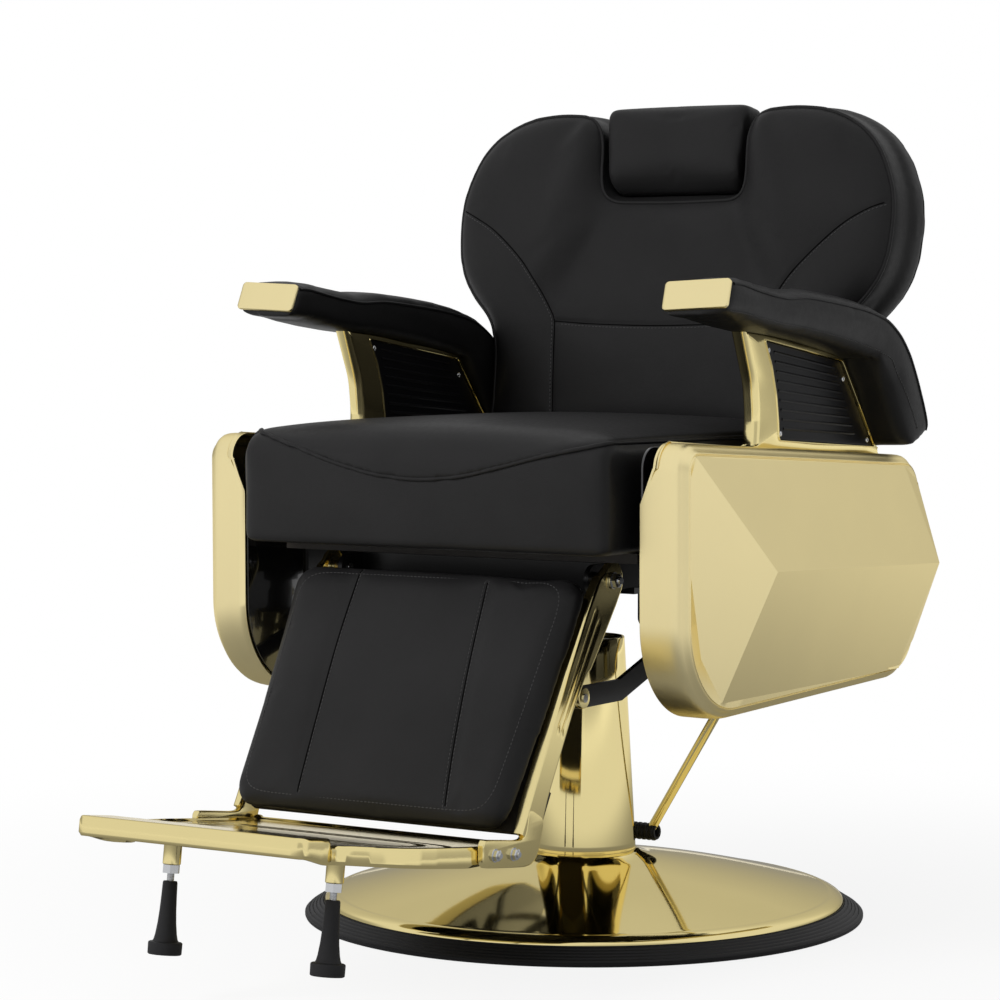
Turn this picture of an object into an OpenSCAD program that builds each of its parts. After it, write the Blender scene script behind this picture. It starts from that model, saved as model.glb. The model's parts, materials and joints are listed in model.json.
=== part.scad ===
// Hydraulic barber chair with a reclining back, a linked footrest and a sliding headrest.
// The origin is on the floor on the swivel axis. The seat faces -Y, +Z is up.

/* [Base] */
// Outer diameter of the rubber base ring
base_d = 700; // [600:10:800]
// Width of the rubber ring outside the gold base disc
ring_w = 25; // [18:1:40]
// Height of the base ring
ring_h = 21; // [16:1:30]
// Height of the disc where the pump cover stands
dome_h = 81; // [60:1:100]
// Lower diameter of the conical pump cover
cover_d1 = 131; // [120:1:150]
// Upper diameter of the conical pump cover
cover_d2 = 102; // [96:1:118]
// Height of the top rim of the pump cover
cover_top = 350; // [330:1:356]

/* [Pump] */
// Outer diameter of the pump barrel
barrel_d = 78; // [70:1:84]
// Diameter of the lifting ram
ram_d = 46; // [42:1:48]
// Lift of the seat by the pump
lift_stroke = 150; // [120:5:180]
// Running clearance of the ram and the swivel, on the radius
run = 0.05; // [0.02:0.01:0.08]
// Diameter of the pump lever rod
lever_d = 12; // [10:0.5:14]
// Diameter of the rubber lever grip
grip_d = 22; // [18:1:26]

/* [Seat] */
// Width of the seat cushion
seat_w = 506; // [480:2:520]
// Position of the front of the seat cushion, ahead of the swivel axis
seat_front = 376; // [360:1:400]
// Position of the rear of the seat cushion, behind the swivel axis
seat_rear = 130; // [110:1:134]
// Height of the underside of the seat cushion
seat_z = 480; // [478:1:486]
// Thickness of the seat cushion at its edge
seat_t = 133; // [115:1:150]
// Crown of the seat cushion
seat_crown = 9; // [4:1:14]

/* [Side panels] */
// Gap between the seat cushion and the inner rim of each side panel
panel_gap = 22; // [18:1:34]
// Depth of each side panel rim
panel_rim = 55; // [45:1:65]
// Height of the facets above the rim
panel_peak = 38; // [24:1:48]
// Wall thickness of the side panels
panel_wall = 3; // [2:0.5:4]

/* [Armrests] */
// Lap of each armrest pad inward over the side panel
arm_lap = 16; // [12:1:18]
// Width of each armrest pad
arm_w = 84; // [74:1:96]
// Thickness of the armrest frames across the chair
post_t = 23; // [18:1:28]

/* [Backrest] */
// Lean of the upright backrest in degrees
lean = 8; // [4:1:12]
// Step in of each lower side of the backrest from the side of the seat cushion
back_gap = 3; // [1:1:20]
// Half width of the backrest at its widest
back_x1 = 322; // [290:1:330]
// Length of the back cushion
back_len = 436; // [410:2:450]
// Thickness of the back cushion
back_t = 66; // [56:1:72]
// Half width of the headrest notch
notch_x = 100; // [90:1:110]
// Travel of the headrest
head_travel = 110; // [80:5:120]

/* [Footrest] */
// Tilt of the footrest arms from vertical in degrees
foot_tilt = 31; // [26:1:34]
// Step in of each footrest arm from the side of the seat cushion
foot_gap = 54; // [52:1:56]
// Pitch of the footplate in degrees
plate_tilt = 8; // [4:1:11]
// Half width of the front bar of the footplate
bar_x = 147; // [130:1:160]
// Thickness of the footplate rim
plate_t = 22; // [18:1:25]
// Half spacing of the two support feet
foot_sx = 109; // [95:1:120]

/* [Hidden] */
$fn = 64;

// Radius of the gold base disc
disc_r = base_d / 2 - ring_w;
// Distance from the middle to the inner rim of each side panel
panel_in = seat_w / 2 + panel_gap;
// Inner face of each armrest pad, from the middle
arm_in = panel_in - arm_lap;
// Half width of the backrest at its lower end
back_x0 = seat_w / 2 - back_gap;
// Outer face of each footrest arm, from the middle
foot_x = seat_w / 2 - foot_gap;
// Middle of each long rail of the seat frame
rail_x = foot_x - 29;
// Pivot of the footrest, in the side view
o1 = [-267, 446];
// Pivot of the backrest, in the side view
o2 = [180, 500];
// Footrest crank: length and angle ahead of straight down
crank1 = 143;
crank1_a = 24.4;
// Backrest crank: length and angle ahead of straight down
crank2 = 78.4;
crank2_a = 5.6;
// Link pivots on the footrest arm and on the backrest lever
la = [o1[0] - crank1 * sin(crank1_a), o1[1] - crank1 * cos(crank1_a)];
lb = [o2[0] - crank2 * sin(crank2_a), o2[1] - crank2 * cos(crank2_a)];
// Side view stack across the chair: link, backrest lever, footrest arm
link_x0 = foot_x - 15;
link_x1 = foot_x - 9;
blever_x0 = foot_x - 7;
blever_x1 = foot_x - 1;
hub_x0 = foot_x - 8;
pin_r = 8;
open_gap = 1.8;
// Steel side plate that carries the hinge, the armrest and the panel
plate_x0 = panel_in - 1;
plate_x1 = panel_in + 2;
board_t = 12;
// Steel plate under the base, and the flange of the barrel on it
floor_t = 8;
flange_t = 12;
board_z = seat_z - board_t;
board_y0 = -292;
rail_z0 = 430;
bar_t = 8;
rail_z1 = board_z - 5;
head_top = rail_z0 - 6;
ram_top = cover_top + 2;
lever_p = [55, 370];
lever_y = 80;
lug_y = lever_y - 20;
lever_elbow = [180, 308];
grip_c = [46, 96];
seat_top = seat_z + seat_t;
rim_x = panel_in + panel_rim;
peak_x = rim_x + panel_peak;
arm_x0 = panel_in - 3;
arm_x1 = arm_x0 + post_t;
arm_mid = arm_in + arm_w / 2;
// Rise of each armrest towards its outer edge
arm_cant = 0.05;

// ---------------------------------------------------------------- helpers

// Cylinder along X
module xcyl(r, x0, x1, y, z) {
    translate([x0, y, z])
        rotate([0, 90, 0])
            cylinder(r = r, h = x1 - x0);
}

// Cylinder along Y
module ycyl(r, y0, y1, x, z) {
    translate([x, y0, z])
        rotate([-90, 0, 0])
            cylinder(r = r, h = y1 - y0);
}

// Side view outline given thickness across the chair
module slab(x0, x1) {
    translate([x0, 0, 0])
        rotate([90, 0, 90])
            linear_extrude(height = x1 - x0)
                children();
}

// Flat strip between two points
module strip2(a, b, w) {
    d = b - a;
    n = [-d[1], d[0]] / norm(d) * w / 2;
    polygon([a + n, b + n, b - n, a - n]);
}

// Hexagon prism along X, af across flats
module xhex(af, x0, x1, y, z) {
    translate([x0, y, z])
        rotate([0, 90, 0])
            cylinder(r = af / sqrt(3), h = x1 - x0, $fn = 6);
}

// Left and right hand of the chair
module hand(s) {
    if (s > 0)
        children();
    else
        mirror([1, 0, 0])
            children();
}

// Points of an arc
function arc(c, r, a0, a1, n) =
    [for (i = [0:n]) [c[0] + r * cos(a0 + (a1 - a0) * i / n), c[1] + r * sin(a0 + (a1 - a0) * i / n)]];

// Unit vector, and the same turned to the left
function unit(v) = v / norm(v);
function left(v) = [-v[1], v[0]];

// Outline of a flat bar of half width w along points p, with rounded ends
function bar_points(p, w) =
    let (n = len(p),
        d = [for (i = [0:n - 2]) unit(p[i + 1] - p[i])],
        o = [for (i = [0:n - 1]) i == 0 ? left(d[0]) : i == n - 1 ? left(d[n - 2])
            : (left(d[i - 1]) + left(d[i])) / (1 + d[i - 1] * d[i])],
        a0 = atan2(d[0][1], d[0][0]),
        a1 = atan2(d[n - 2][1], d[n - 2][0]))
    concat([for (i = [0:n - 1]) p[i] + w * o[i]],
        [for (k = [1:11]) p[n - 1] + w * [cos(a1 + 90 - 15 * k), sin(a1 + 90 - 15 * k)]],
        [for (i = [n - 1:-1:0]) p[i] - w * o[i]],
        [for (k = [1:11]) p[0] + w * [cos(a0 - 90 - 15 * k), sin(a0 - 90 - 15 * k)]]);

// Signed power, for rounded box sections
function sp(v, p) = sign(v) * pow(abs(v), p);

// Rounded box section: half sizes a and b, n points
function section(a, b, p, n) =
    [for (i = [0:n - 1]) [a * sp(cos(360 * i / n), p), b * sp(sin(360 * i / n), p)]];

// Middle of a ring of points
function middle(r) = [for (k = [0:2]) (min([for (q = r) q[k]]) + max([for (q = r) q[k]])) / 2];

// Skin over rings that have equal numbers of points, closed at both ends
module skin(rings) {
    m = len(rings);
    n = len(rings[0]);
    pts = [for (r = rings) each r];
    all_pts = concat(pts, [middle(rings[0]), middle(rings[m - 1])]);
    side = [for (j = [0:m - 2], i = [0:n - 1]) each [
        [j * n + i, (j + 1) * n + i, (j + 1) * n + (i + 1) % n],
        [j * n + i, (j + 1) * n + (i + 1) % n, j * n + (i + 1) % n]]];
    cap0 = [for (i = [0:n - 1]) [m * n, i, (i + 1) % n]];
    cap1 = [for (i = [0:n - 1]) [m * n + 1, (m - 1) * n + (i + 1) % n, (m - 1) * n + i]];
    polyhedron(points = all_pts, faces = concat(side, cap0, cap1), convexity = 6);
}

// Cushion standing on z = 0: half sizes a and b, height h, edge rounding r, crown c
module cushion(a, b, h, r, c, p) {
    n = 40;
    low = [for (t = [0:30:90])
        [for (q = section(a - r * 0.55 * (1 - sin(t)), b - r * 0.55 * (1 - sin(t)), p, n))
            [q[0], q[1], r * 0.55 * (1 - cos(t))]]];
    high = [for (t = [0:22.5:90])
        [for (q = section(a - r * (1 - cos(t)), b - r * (1 - cos(t)), p, n))
            [q[0], q[1], h - r + r * sin(t)]]];
    top = [for (k = [0.8, 0.55, 0.28])
        [for (q = section((a - r) * k, (b - r) * k, p, n))
            [q[0], q[1], h + c * (1 - k * k)]]];
    skin(concat(low, high, top));
}

// ---------------------------------------------------------------- base

module base_ring() {
    ro = base_d / 2;
    ri = disc_r;
    color([0.08, 0.08, 0.08])
        difference() {
            rotate_extrude($fn = 96)
                polygon([[ri - 9, 0], [ro - 2, 0], [ro, 3], [ro, 6], [ri + 1, ring_h], [ri + 0.4, ring_h],
                    [ri + 0.4, ring_h - 5], [ri - 9, ring_h - 5]]);
            for (k = [0:3])
                translate([0, 0, 10.4 + 2.8 * (3 - k)])
                    rotate_extrude($fn = 96)
                        translate([ri + 6 + 5 * k, 0])
                            circle(r = 1.4);
        }
}

module base_plate() {
    color([0.2, 0.2, 0.21])
        difference() {
            cylinder(r = disc_r - 9.3, h = floor_t, $fn = 96);
            for (k = [0:3])
                rotate([0, 0, 45 + 90 * k])
                    translate([54, 0, -1])
                        cylinder(r = 5.05, h = 30, $fn = 32);
        }
}

module base_disc() {
    ri = disc_r;
    z0 = ring_h - 5;
    r1 = cover_d1 / 2 + 26;
    z1 = dome_h - 8;
    color([0.86, 0.78, 0.55])
        rotate_extrude($fn = 96)
            polygon([[ri, z0], [ri, z0 + 7], [ri - 1.5, z0 + 9], [ri - 9, z0 + 12.6], [ri - 12, z0 + 12.6],
                [r1, z1], [cover_d1 / 2 + 6, dome_h - 2], [cover_d1 / 2 + 3, dome_h],
                [cover_d1 / 2 - 16, dome_h], [cover_d1 / 2 - 16, dome_h - 3],
                [r1 - 0.7, z1 - 2.4], [ri - 12.4, z0 + 10.2], [ri - 4, z0 + 6], [ri - 4, z0]]);
}

module pump_cover() {
    r1 = cover_d1 / 2;
    r2 = cover_d2 / 2;
    h = cover_top - dome_h;
    color([0.86, 0.78, 0.55])
        translate([0, 0, dome_h])
            difference() {
                cylinder(r1 = r1, r2 = r2, h = h);
                translate([0, 0, -1])
                    cylinder(r1 = r1 - 2.5, r2 = r2 - 2.5, h = h + 2);
            }
}

module pump_barrel() {
    color([0.3, 0.3, 0.32])
        difference() {
            union() {
                translate([0, 0, floor_t])
                    cylinder(r = 70, h = flange_t);
                translate([0, 0, floor_t])
                    cylinder(r = barrel_d / 2, h = cover_top - 6 - floor_t);
            }
            translate([0, 0, 60])
                cylinder(r = ram_d / 2 + run, h = cover_top);
            for (k = [0:3])
                rotate([0, 0, 45 + 90 * k])
                    translate([54, 0, 0])
                        cylinder(r = 5.05, h = 30, $fn = 32);
        }
}

module barrel_bolts() {
    color([0.75, 0.75, 0.77])
        for (k = [0:3])
            rotate([0, 0, 45 + 90 * k])
                translate([54, 0, 0]) {
                    translate([0, 0, 1])
                        cylinder(r = 5, h = floor_t + flange_t - 0.5, $fn = 32);
                    translate([0, 0, floor_t + flange_t])
                        cylinder(r = 8.5, h = 6, $fn = 6);
                }
}

// ---------------------------------------------------------------- lift

module pump_ram() {
    color([0.78, 0.78, 0.8])
        union() {
            translate([0, 0, 130])
                cylinder(r = ram_d / 2, h = ram_top - 130);
            translate([0, 0, ram_top - 1])
                cylinder(r = 20, h = head_top - ram_top - 6);
        }
}

// ---------------------------------------------------------------- seat

module pump_head() {
    color([0.12, 0.12, 0.12])
        difference() {
            union() {
                // neck on the ram, and the flange under the seat frame
                translate([0, 0, ram_top])
                    cylinder(r = ram_d / 2 + 2, h = head_top - ram_top - 10);
                translate([0, 0, head_top - 24])
                    cylinder(r = 37, h = 24);
                // bar to the lug of the lever
                translate([0, 10, head_top - 20])
                    cube([lever_p[0] + 12, lever_y - 18, 20]);
                translate([lever_p[0] - 12, lug_y, lever_p[1]])
                    cube([24, lever_y - 8 - lug_y, head_top - lever_p[1]]);
                ycyl(12, lug_y, lever_y - 8, lever_p[0], lever_p[1]);
            }
            translate([0, 0, ram_top - 1])
                cylinder(r = 20 + run, h = head_top - ram_top - 5.5);
            ycyl(6, 5, lever_y, lever_p[0], lever_p[1]);
        }
}

module lever_pin() {
    color([0.75, 0.75, 0.77])
        union() {
            ycyl(5.97, lug_y + 1, lever_y + 6.4, lever_p[0], lever_p[1]);
            ycyl(10, lever_y + 6.4, lever_y + 10, lever_p[0], lever_p[1]);
        }
}

module seat_frame() {
    color([0.1, 0.1, 0.1])
        difference() {
            union() {
                // mounting plate on the pump head
                translate([-rail_x + 4, -110, head_top])
                    cube([2 * rail_x - 8, 220, 6]);
                // long rails
                for (s = [-1, 1])
                    translate([s * (rail_x - bar_t / 2) - bar_t / 2, -240, rail_z0])
                        cube([bar_t, 425, rail_z1 - rail_z0]);
                // cross rails
                for (y = [-240, -100, 100 - bar_t, 185 - bar_t])
                    translate([-rail_x - 0.5 + bar_t, y, rail_z0])
                        cube([2 * rail_x + 1 - 2 * bar_t, bar_t, rail_z1 - rail_z0]);
                // straps to the side plates
                for (y = [-215, -60, 45])
                    translate([-plate_x0, y, rail_z1])
                        cube([2 * plate_x0, 40, 5]);
                for (s = [-1, 1], y = [-215, -60, 45])
                    translate([s * (plate_x0 - 2.5) - 2.5, y, rail_z1 - 34])
                        cube([5, 40, 35]);
                // brackets of the footrest pivots
                for (s = [-1, 1])
                    slab(s * (rail_x + 3) - 3, s * (rail_x + 3) + 3)
                        union() {
                            translate(o1)
                                circle(r = 17);
                            polygon([[o1[0], o1[1] + 17], [-200, rail_z1], [-200, rail_z0],
                                [o1[0], o1[1] - 17]]);
                        }
            }
            for (s = [-1, 1])
                xcyl(6.02, s * (rail_x + 3) - 10, s * (rail_x + 3) + 10, o1[0], o1[1]);
            translate([0, 0, head_top - 1])
                for (k = [0:3])
                    rotate([0, 0, 45 + 90 * k])
                        translate([27, 0, 0])
                            cylinder(r = 4.05, h = 8, $fn = 32);
        }
}

module frame_bolts() {
    color([0.75, 0.75, 0.77])
        for (k = [0:3])
            rotate([0, 0, 45 + 90 * k])
                translate([27, 0, head_top]) {
                    cylinder(r = 4, h = 6, $fn = 32);
                    translate([0, 0, 6])
                        cylinder(r = 7.5, h = 5, $fn = 6);
                }
}

module seat_board() {
    hx = seat_w / 2 - 7;
    color([0.1, 0.1, 0.1])
        translate([-hx, board_y0, board_z])
            cube([2 * hx, seat_rear - 14 - board_y0, board_t]);
}

module seat_cushion() {
    d = seat_front + seat_rear;
    color([0.07, 0.07, 0.07])
        translate([0, (seat_rear - seat_front) / 2, seat_z])
            cushion(seat_w / 2, d / 2, seat_t, 20, seat_crown, 0.22);
}

module footrest_pivot_bolts() {
    color([0.78, 0.78, 0.8])
        for (s = [-1, 1])
            hand(s)
                union() {
                    xcyl(6, rail_x - 7, foot_x + 9, o1[0], o1[1]);
                    xcyl(10, rail_x - 7, rail_x, o1[0], o1[1]);
                    xcyl(10, rail_x + 6, hub_x0 - 0.3, o1[0], o1[1]);
                    xhex(19, foot_x + 0.6, foot_x + 9, o1[0], o1[1]);
                }
}

module back_hinge_pins() {
    color([0.75, 0.75, 0.77])
        for (s = [-1, 1])
            hand(s)
                union() {
                    xcyl(13, blever_x1 + 0.4, plate_x0, o2[0], o2[1]);
                    xcyl(pin_r, blever_x0 - 4, blever_x1 + 1, o2[0], o2[1]);
                    xhex(21, blever_x0 - 8, blever_x0 - 0.4, o2[0], o2[1]);
                }
}

module recline_clamp_stud() {
    q = o2 + [65 * cos(-30), 65 * sin(-30)];
    color([0.75, 0.75, 0.77])
        union() {
            xcyl(6, -plate_x0, -(blever_x0 - 7), q[0], q[1]);
            xcyl(11, -plate_x0, -(plate_x0 - 36), q[0], q[1]);
            xcyl(10, -(blever_x0 - 0.4), -(blever_x0 - 2), q[0], q[1]);
            xhex(16, -(blever_x0 - 1.9), -(blever_x0 - 7), q[0], q[1]);
        }
}

// Height of the flat top edge of the side panels
function panel_top(y) =
    let (a = [-308, 607], b = [228 + 50 * cos(86.5), 526 + 50 * sin(86.5)])
    a[1] + (y - a[0]) * (b[1] - a[1]) / (b[0] - a[0]);

// Side view outline of the side panels, pulled in by w
function panel_outline(w) = concat(
    arc([-308, 577], 30 - w, 180, 90, 6),
    arc([228, 526], 50 - w, 86.5, 25, 6),
    arc([268, 437], 52 - w, 25, -35, 6),
    arc([195, 372], 75 - w, -35, -90, 6),
    arc([-222, 405], 115 - w, -90, -180, 12));

module side_plate(s) {
    color([0.05, 0.05, 0.055])
        hand(s)
            difference() {
                slab(plate_x0, plate_x1)
                    polygon(panel_outline(panel_wall + 1));
                for (y = [-40, 160])
                    xcyl(3.05, plate_x0 - 1, plate_x1 + 1, y, 548);
            }
}

// Facets: front peak and rear peak stand out from the rim
module facets(w, x0) {
    o = panel_outline(w);
    n = len(o);
    a = [peak_x - w, -182, 457];
    b = [peak_x - w, 262 - w, 440];
    front = [for (q = o) q[0] < 0 ? n : n + 1];
    pts = concat([for (q = o) [x0, q[0], q[1]]], [a, b]);
    tris = [for (i = [0:n - 1]) each
        let (j = (i + 1) % n)
        front[i] == front[j] ? [[i, j, front[i]]] : [[i, j, front[i]], [j, front[j], front[i]]]];
    polyhedron(points = pts, faces = concat(tris, [[for (i = [0:n - 1]) n - 1 - i]]), convexity = 4);
}

module side_panel(s) {
    slot_y = 200;
    color([0.87, 0.8, 0.6])
        hand(s)
            union() {
                difference() {
                    union() {
                        slab(panel_in, rim_x + 0.01)
                            polygon(panel_outline(0));
                        facets(0, rim_x);
                    }
                    union() {
                        slab(panel_in - 1, rim_x - panel_wall + 0.01)
                            polygon(panel_outline(panel_wall));
                        facets(panel_wall, rim_x - panel_wall);
                    }
                    translate([plate_x1 - 0.3, -84, 540])
                        cube([6.8, slot_y + 88, 80]);
                }
                intersection() {
                    union() {
                        slab(panel_in, rim_x + 0.01)
                            polygon(panel_outline(1));
                        facets(1, rim_x - 1);
                    }
                    for (q = [[-230, 440], [215, 440]])
                        xcyl(9, plate_x1, peak_x, q[0], q[1]);
                }
            }
}

// Armrest frame outline: curved post, top strip, rear strip and base strip
module arm_outline() {
    polygon(concat([[-126, 732.4], [-111, 697], [-101, 672], [-97, 650], [-95, 625], [-97, 602],
        [-97, panel_top(-97) + 0.02], [231, panel_top(231) + 0.02], [236, panel_top(231) + 3]],
        [for (i = [15:-1:4])
            let (q = arm_stations()[i], d = q[2] + 0.3 + arm_cant * (arm_mid - arm_x0))
            [q[0] - d * cos(q[3]), q[1] - d * sin(q[3])]]));
}

module arm_window(w) {
    polygon([[-76 + w, 721 - w], [-58 + w, 690], [-46 + w, 655], [-41 + w, 625], [-39 + w, 602 + w],
        [209 - 1.4 * w, 587 + w], [125 - 0.6 * w, 695 - w]]);
}

module arm_frame(s) {
    color([0.86, 0.78, 0.55])
        hand(s)
            difference() {
                union() {
                    slab(arm_x0, arm_x1)
                        arm_outline();
                    slab(plate_x1, plate_x1 + 6)
                        polygon([[-80, 603], [200, 586], [200, 530], [-80, 530]]);
                }
                slab(arm_x0 - 1, arm_x1 + 1)
                    arm_window(0);
                for (y = [-40, 160])
                    xcyl(3.05, arm_x0 - 1, arm_x1 + 1, y, 548);
            }
}

module arm_insert(s) {
    xm = (arm_x0 + arm_x1) / 2;
    color([0.06, 0.06, 0.06])
        hand(s)
            difference() {
                slab(arm_x0 + 3, arm_x1 - 3)
                    arm_window(0);
                for (k = [0:7], t = [-1, 1])
                    slab(t > 0 ? arm_x1 - 5 : arm_x0 + 2, t > 0 ? arm_x1 - 2 : arm_x0 + 5)
                        translate([-25 + 2 * k, 697 - 13 * k])
                            rotate(-8 + 0.6 * k)
                                translate([0, -1.5])
                                    square([138 + 6 * k, 3]);
                for (q = [[-62, 708], [112, 684], [186, 594], [-30, 608]])
                    xcyl(1.6, arm_x0 - 1, arm_x1 + 1, q[0], q[1]);
            }
}

module arm_screws(s) {
    color([0.8, 0.8, 0.82])
        hand(s) {
            for (q = [[-62, 708], [112, 684], [186, 594], [-30, 608]])
                union() {
                    xcyl(1.55, arm_x0 + 1.5, arm_x1 - 1.5, q[0], q[1]);
                    xcyl(3.4, arm_x1 - 3, arm_x1 - 1.4, q[0], q[1]);
                    xcyl(3.4, arm_x0 + 1.4, arm_x0 + 3, q[0], q[1]);
                }
            for (y = [-40, 160])
                union() {
                    xcyl(3, plate_x0 - 4, plate_x1 + 6, y, 548);
                    xcyl(6, plate_x0 - 4, plate_x0, y, 548);
                    xcyl(6, plate_x1 + 6, plate_x1 + 10, y, 548);
                }
        }
}

// Armrest pad: sections follow the arm back and then down
function arm_stations() = [
    [-254.3, 769, 21, 68.5], [-240, 769.5, 22, 78], [-215, 767.5, 22.5, 87], [-165, 760.5, 22, 88],
    [-110, 754.5, 21.5, 85], [-60, 753.5, 24.5, 83], [0, 748, 26, 82], [60, 741, 27.5, 81],
    [110, 733.5, 28, 79], [150, 724, 28, 68], [179.5, 704, 34, 54], [201.6, 683.5, 35, 40],
    [219, 658, 36, 30], [238, 626.4, 36, 27], [247.7, 608.7, 35, 24], [257.5, 595.6, 28, 24]];

module arm_pad(s) {
    n = 28;
    st = arm_stations();
    rings = [for (q = st)
        [for (e = section(arm_w / 2, q[2], 0.35, n))
            let (b = e[1] + arm_cant * e[0])
            [arm_mid + e[0], q[0] + b * cos(q[3]), q[1] + b * sin(q[3])]]];
    color([0.07, 0.07, 0.07])
        hand(s)
            skin([for (i = [len(rings) - 1:-1:0]) rings[i]]);
}

module arm_cap(s) {
    q = arm_stations()[0];
    color([0.9, 0.84, 0.66])
        hand(s)
            translate([arm_mid, q[0], q[1]])
                rotate([q[3] - 90, 0, 0])
                    rotate([0, -atan(arm_cant), 0])
                        translate([-arm_w / 2, -4.2, -14])
                            cube([arm_w, 4, 35]);
}

// ---------------------------------------------------------------- pump lever

module pump_lever() {
    a = lever_p;
    b = lever_elbow;
    c = [grip_c[0] + 5, grip_c[1] + 4];
    r = lever_d / 2;
    color([0.86, 0.78, 0.55])
        translate([0, lever_y, 0])
            rotate([90, 0, 0])
                union() {
                    difference() {
                        translate([a[0], a[1], -6.4])
                            cylinder(r = 12, h = 12.8);
                        translate([a[0], a[1], -7])
                            cylinder(r = 6.02, h = 14);
                    }
                    lever_rod(a + 10 * (b - a) / norm(b - a), b, r);
                    lever_rod(b, c, r);
                    translate([b[0], b[1], 0])
                        sphere(r = r + 1);
                }
}

// Rod between two points in the plane of the lever
module lever_rod(a, b, r) {
    d = b - a;
    translate([a[0], a[1], 0])
        rotate([0, 0, atan2(d[1], d[0])])
            rotate([0, 90, 0])
                cylinder(r = r, h = norm(d));
}

module lever_grip() {
    color([0.05, 0.05, 0.05])
        difference() {
            union() {
                xcyl(grip_d / 2 - 1.5, grip_c[0] - 36, grip_c[0] + 15, lever_y, grip_c[1]);
                for (k = [0:6])
                    xcyl(grip_d / 2, grip_c[0] - 35 + 7 * k, grip_c[0] - 31 + 7 * k, lever_y, grip_c[1]);
            }
            xcyl(5.5, grip_c[0] + 8, grip_c[0] + 16, lever_y, grip_c[1]);
            translate([0, lever_y, 0])
                rotate([90, 0, 0])
                    lever_rod([grip_c[0] + 5, grip_c[1] + 4], lever_elbow, lever_d / 2);
        }
}

// ---------------------------------------------------------------- recline clamp

module recline_handle() {
    q = o2 + [65 * cos(-30), 65 * sin(-30)];
    x = -(blever_x1 + 7);
    color([0.75, 0.75, 0.77])
        difference() {
            union() {
                xcyl(14, x - 12, -(blever_x1 + 0.4), q[0], q[1]);
                slab(x - 10, x - 2)
                    union() {
                        strip2(q, q + [62, -180], 14);
                        translate(q + [62, -180])
                            circle(r = 7);
                    }
            }
            xcyl(6 + run, x - 13, x + 9, q[0], q[1]);
        }
}

module handle_knob() {
    q = o2 + [65 * cos(-30), 65 * sin(-30)] + [62, -180];
    x = -(blever_x1 + 7);
    color([0.05, 0.05, 0.05])
        union() {
            xcyl(12, x - 40, x - 10, q[0], q[1]);
            xcyl(9, x - 46, x - 40, q[0], q[1]);
        }
}

// ---------------------------------------------------------------- backrest

// Things drawn with z along the back and -y to the front, hinge at the origin
module back_place() {
    translate([0, o2[0], o2[1]])
        rotate([-lean, 0, 0])
            children();
}

back_n = 24.6;
back_t0 = 84;
board_bt = 14;
back_y0 = -back_n;
back_y1 = back_y0 + back_t;
back_y2 = back_y1 + board_bt;
// Rear face of the headrest pad
head_y = 25;

// Half width of the back at height t above its lower end
function back_half(t) =
    let (h = t / back_len)
    h < 0.36 ? back_x0 - 4 * sin(180 * h / 0.36) :
    h < 0.63 ? back_x0 + (back_x1 - back_x0) * (1 - cos(180 * (h - 0.36) / 0.27)) / 2 :
    back_x1 - (back_x1 - 170) * (1 - sqrt(max(0, 1 - pow((h - 0.63) / 0.37, 2.3))));

module back_cushion() {
    n = 44;
    hs = [0.0, 0.012, 0.05, 0.12, 0.2, 0.28, 0.36, 0.42, 0.48, 0.54, 0.6, 0.66, 0.72, 0.78, 0.84, 0.89,
        0.93, 0.96, 0.98, 0.992, 1.0];
    rings = [for (h = hs)
        let (e = h < 0.03 ? 0.72 + 0.28 * sqrt(1 - pow(1 - h / 0.03, 2))
            : h > 0.96 ? 0.66 + 0.34 * sqrt(max(0, 1 - pow((h - 0.96) / 0.04, 2))) : 1)
        [for (q = section(back_half(h * back_len), back_t / 2 * e, 0.3, n))
            [q[0], back_y1 - back_t / 2 * e + q[1], back_t0 + h * back_len]]];
    color([0.07, 0.07, 0.07])
        back_place()
            difference() {
                skin(rings);
                notch_cut(back_y0 - 30, back_y1 + 1);
            }
}

module notch_cut(y0, y1) {
    z = back_t0 + back_len - 114;
    translate([0, y0, 0])
        rotate([-90, 0, 0])
            linear_extrude(height = y1 - y0)
                mirror([0, 1])
                    union() {
                        translate([-notch_x, z + 14])
                            square([2 * notch_x, 140]);
                        translate([-notch_x + 14, z])
                            square([2 * notch_x - 28, 20]);
                        for (s = [-1, 1])
                            translate([s * (notch_x - 14), z + 14])
                                circle(r = 14);
                    }
}

module back_board() {
    w = notch_x - 34;
    t = back_t0 + back_len - 52;
    hs = [for (k = [0:24]) 0.02 + 0.04 * k];
    color([0.08, 0.08, 0.08])
        back_place()
            translate([0, back_y1, 0])
                rotate([-90, 0, 0])
                    linear_extrude(height = board_bt)
                        mirror([0, 1])
                            difference() {
                                polygon(concat(
                                    [for (h = hs) [back_half(h * back_len) - 9, back_t0 + h * back_len]],
                                    [for (k = [24:-1:0])
                                        [-back_half(hs[k] * back_len) + 9, back_t0 + hs[k] * back_len]]));
                                translate([-w, t])
                                    square([2 * w, 80]);
                            }
}

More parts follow.
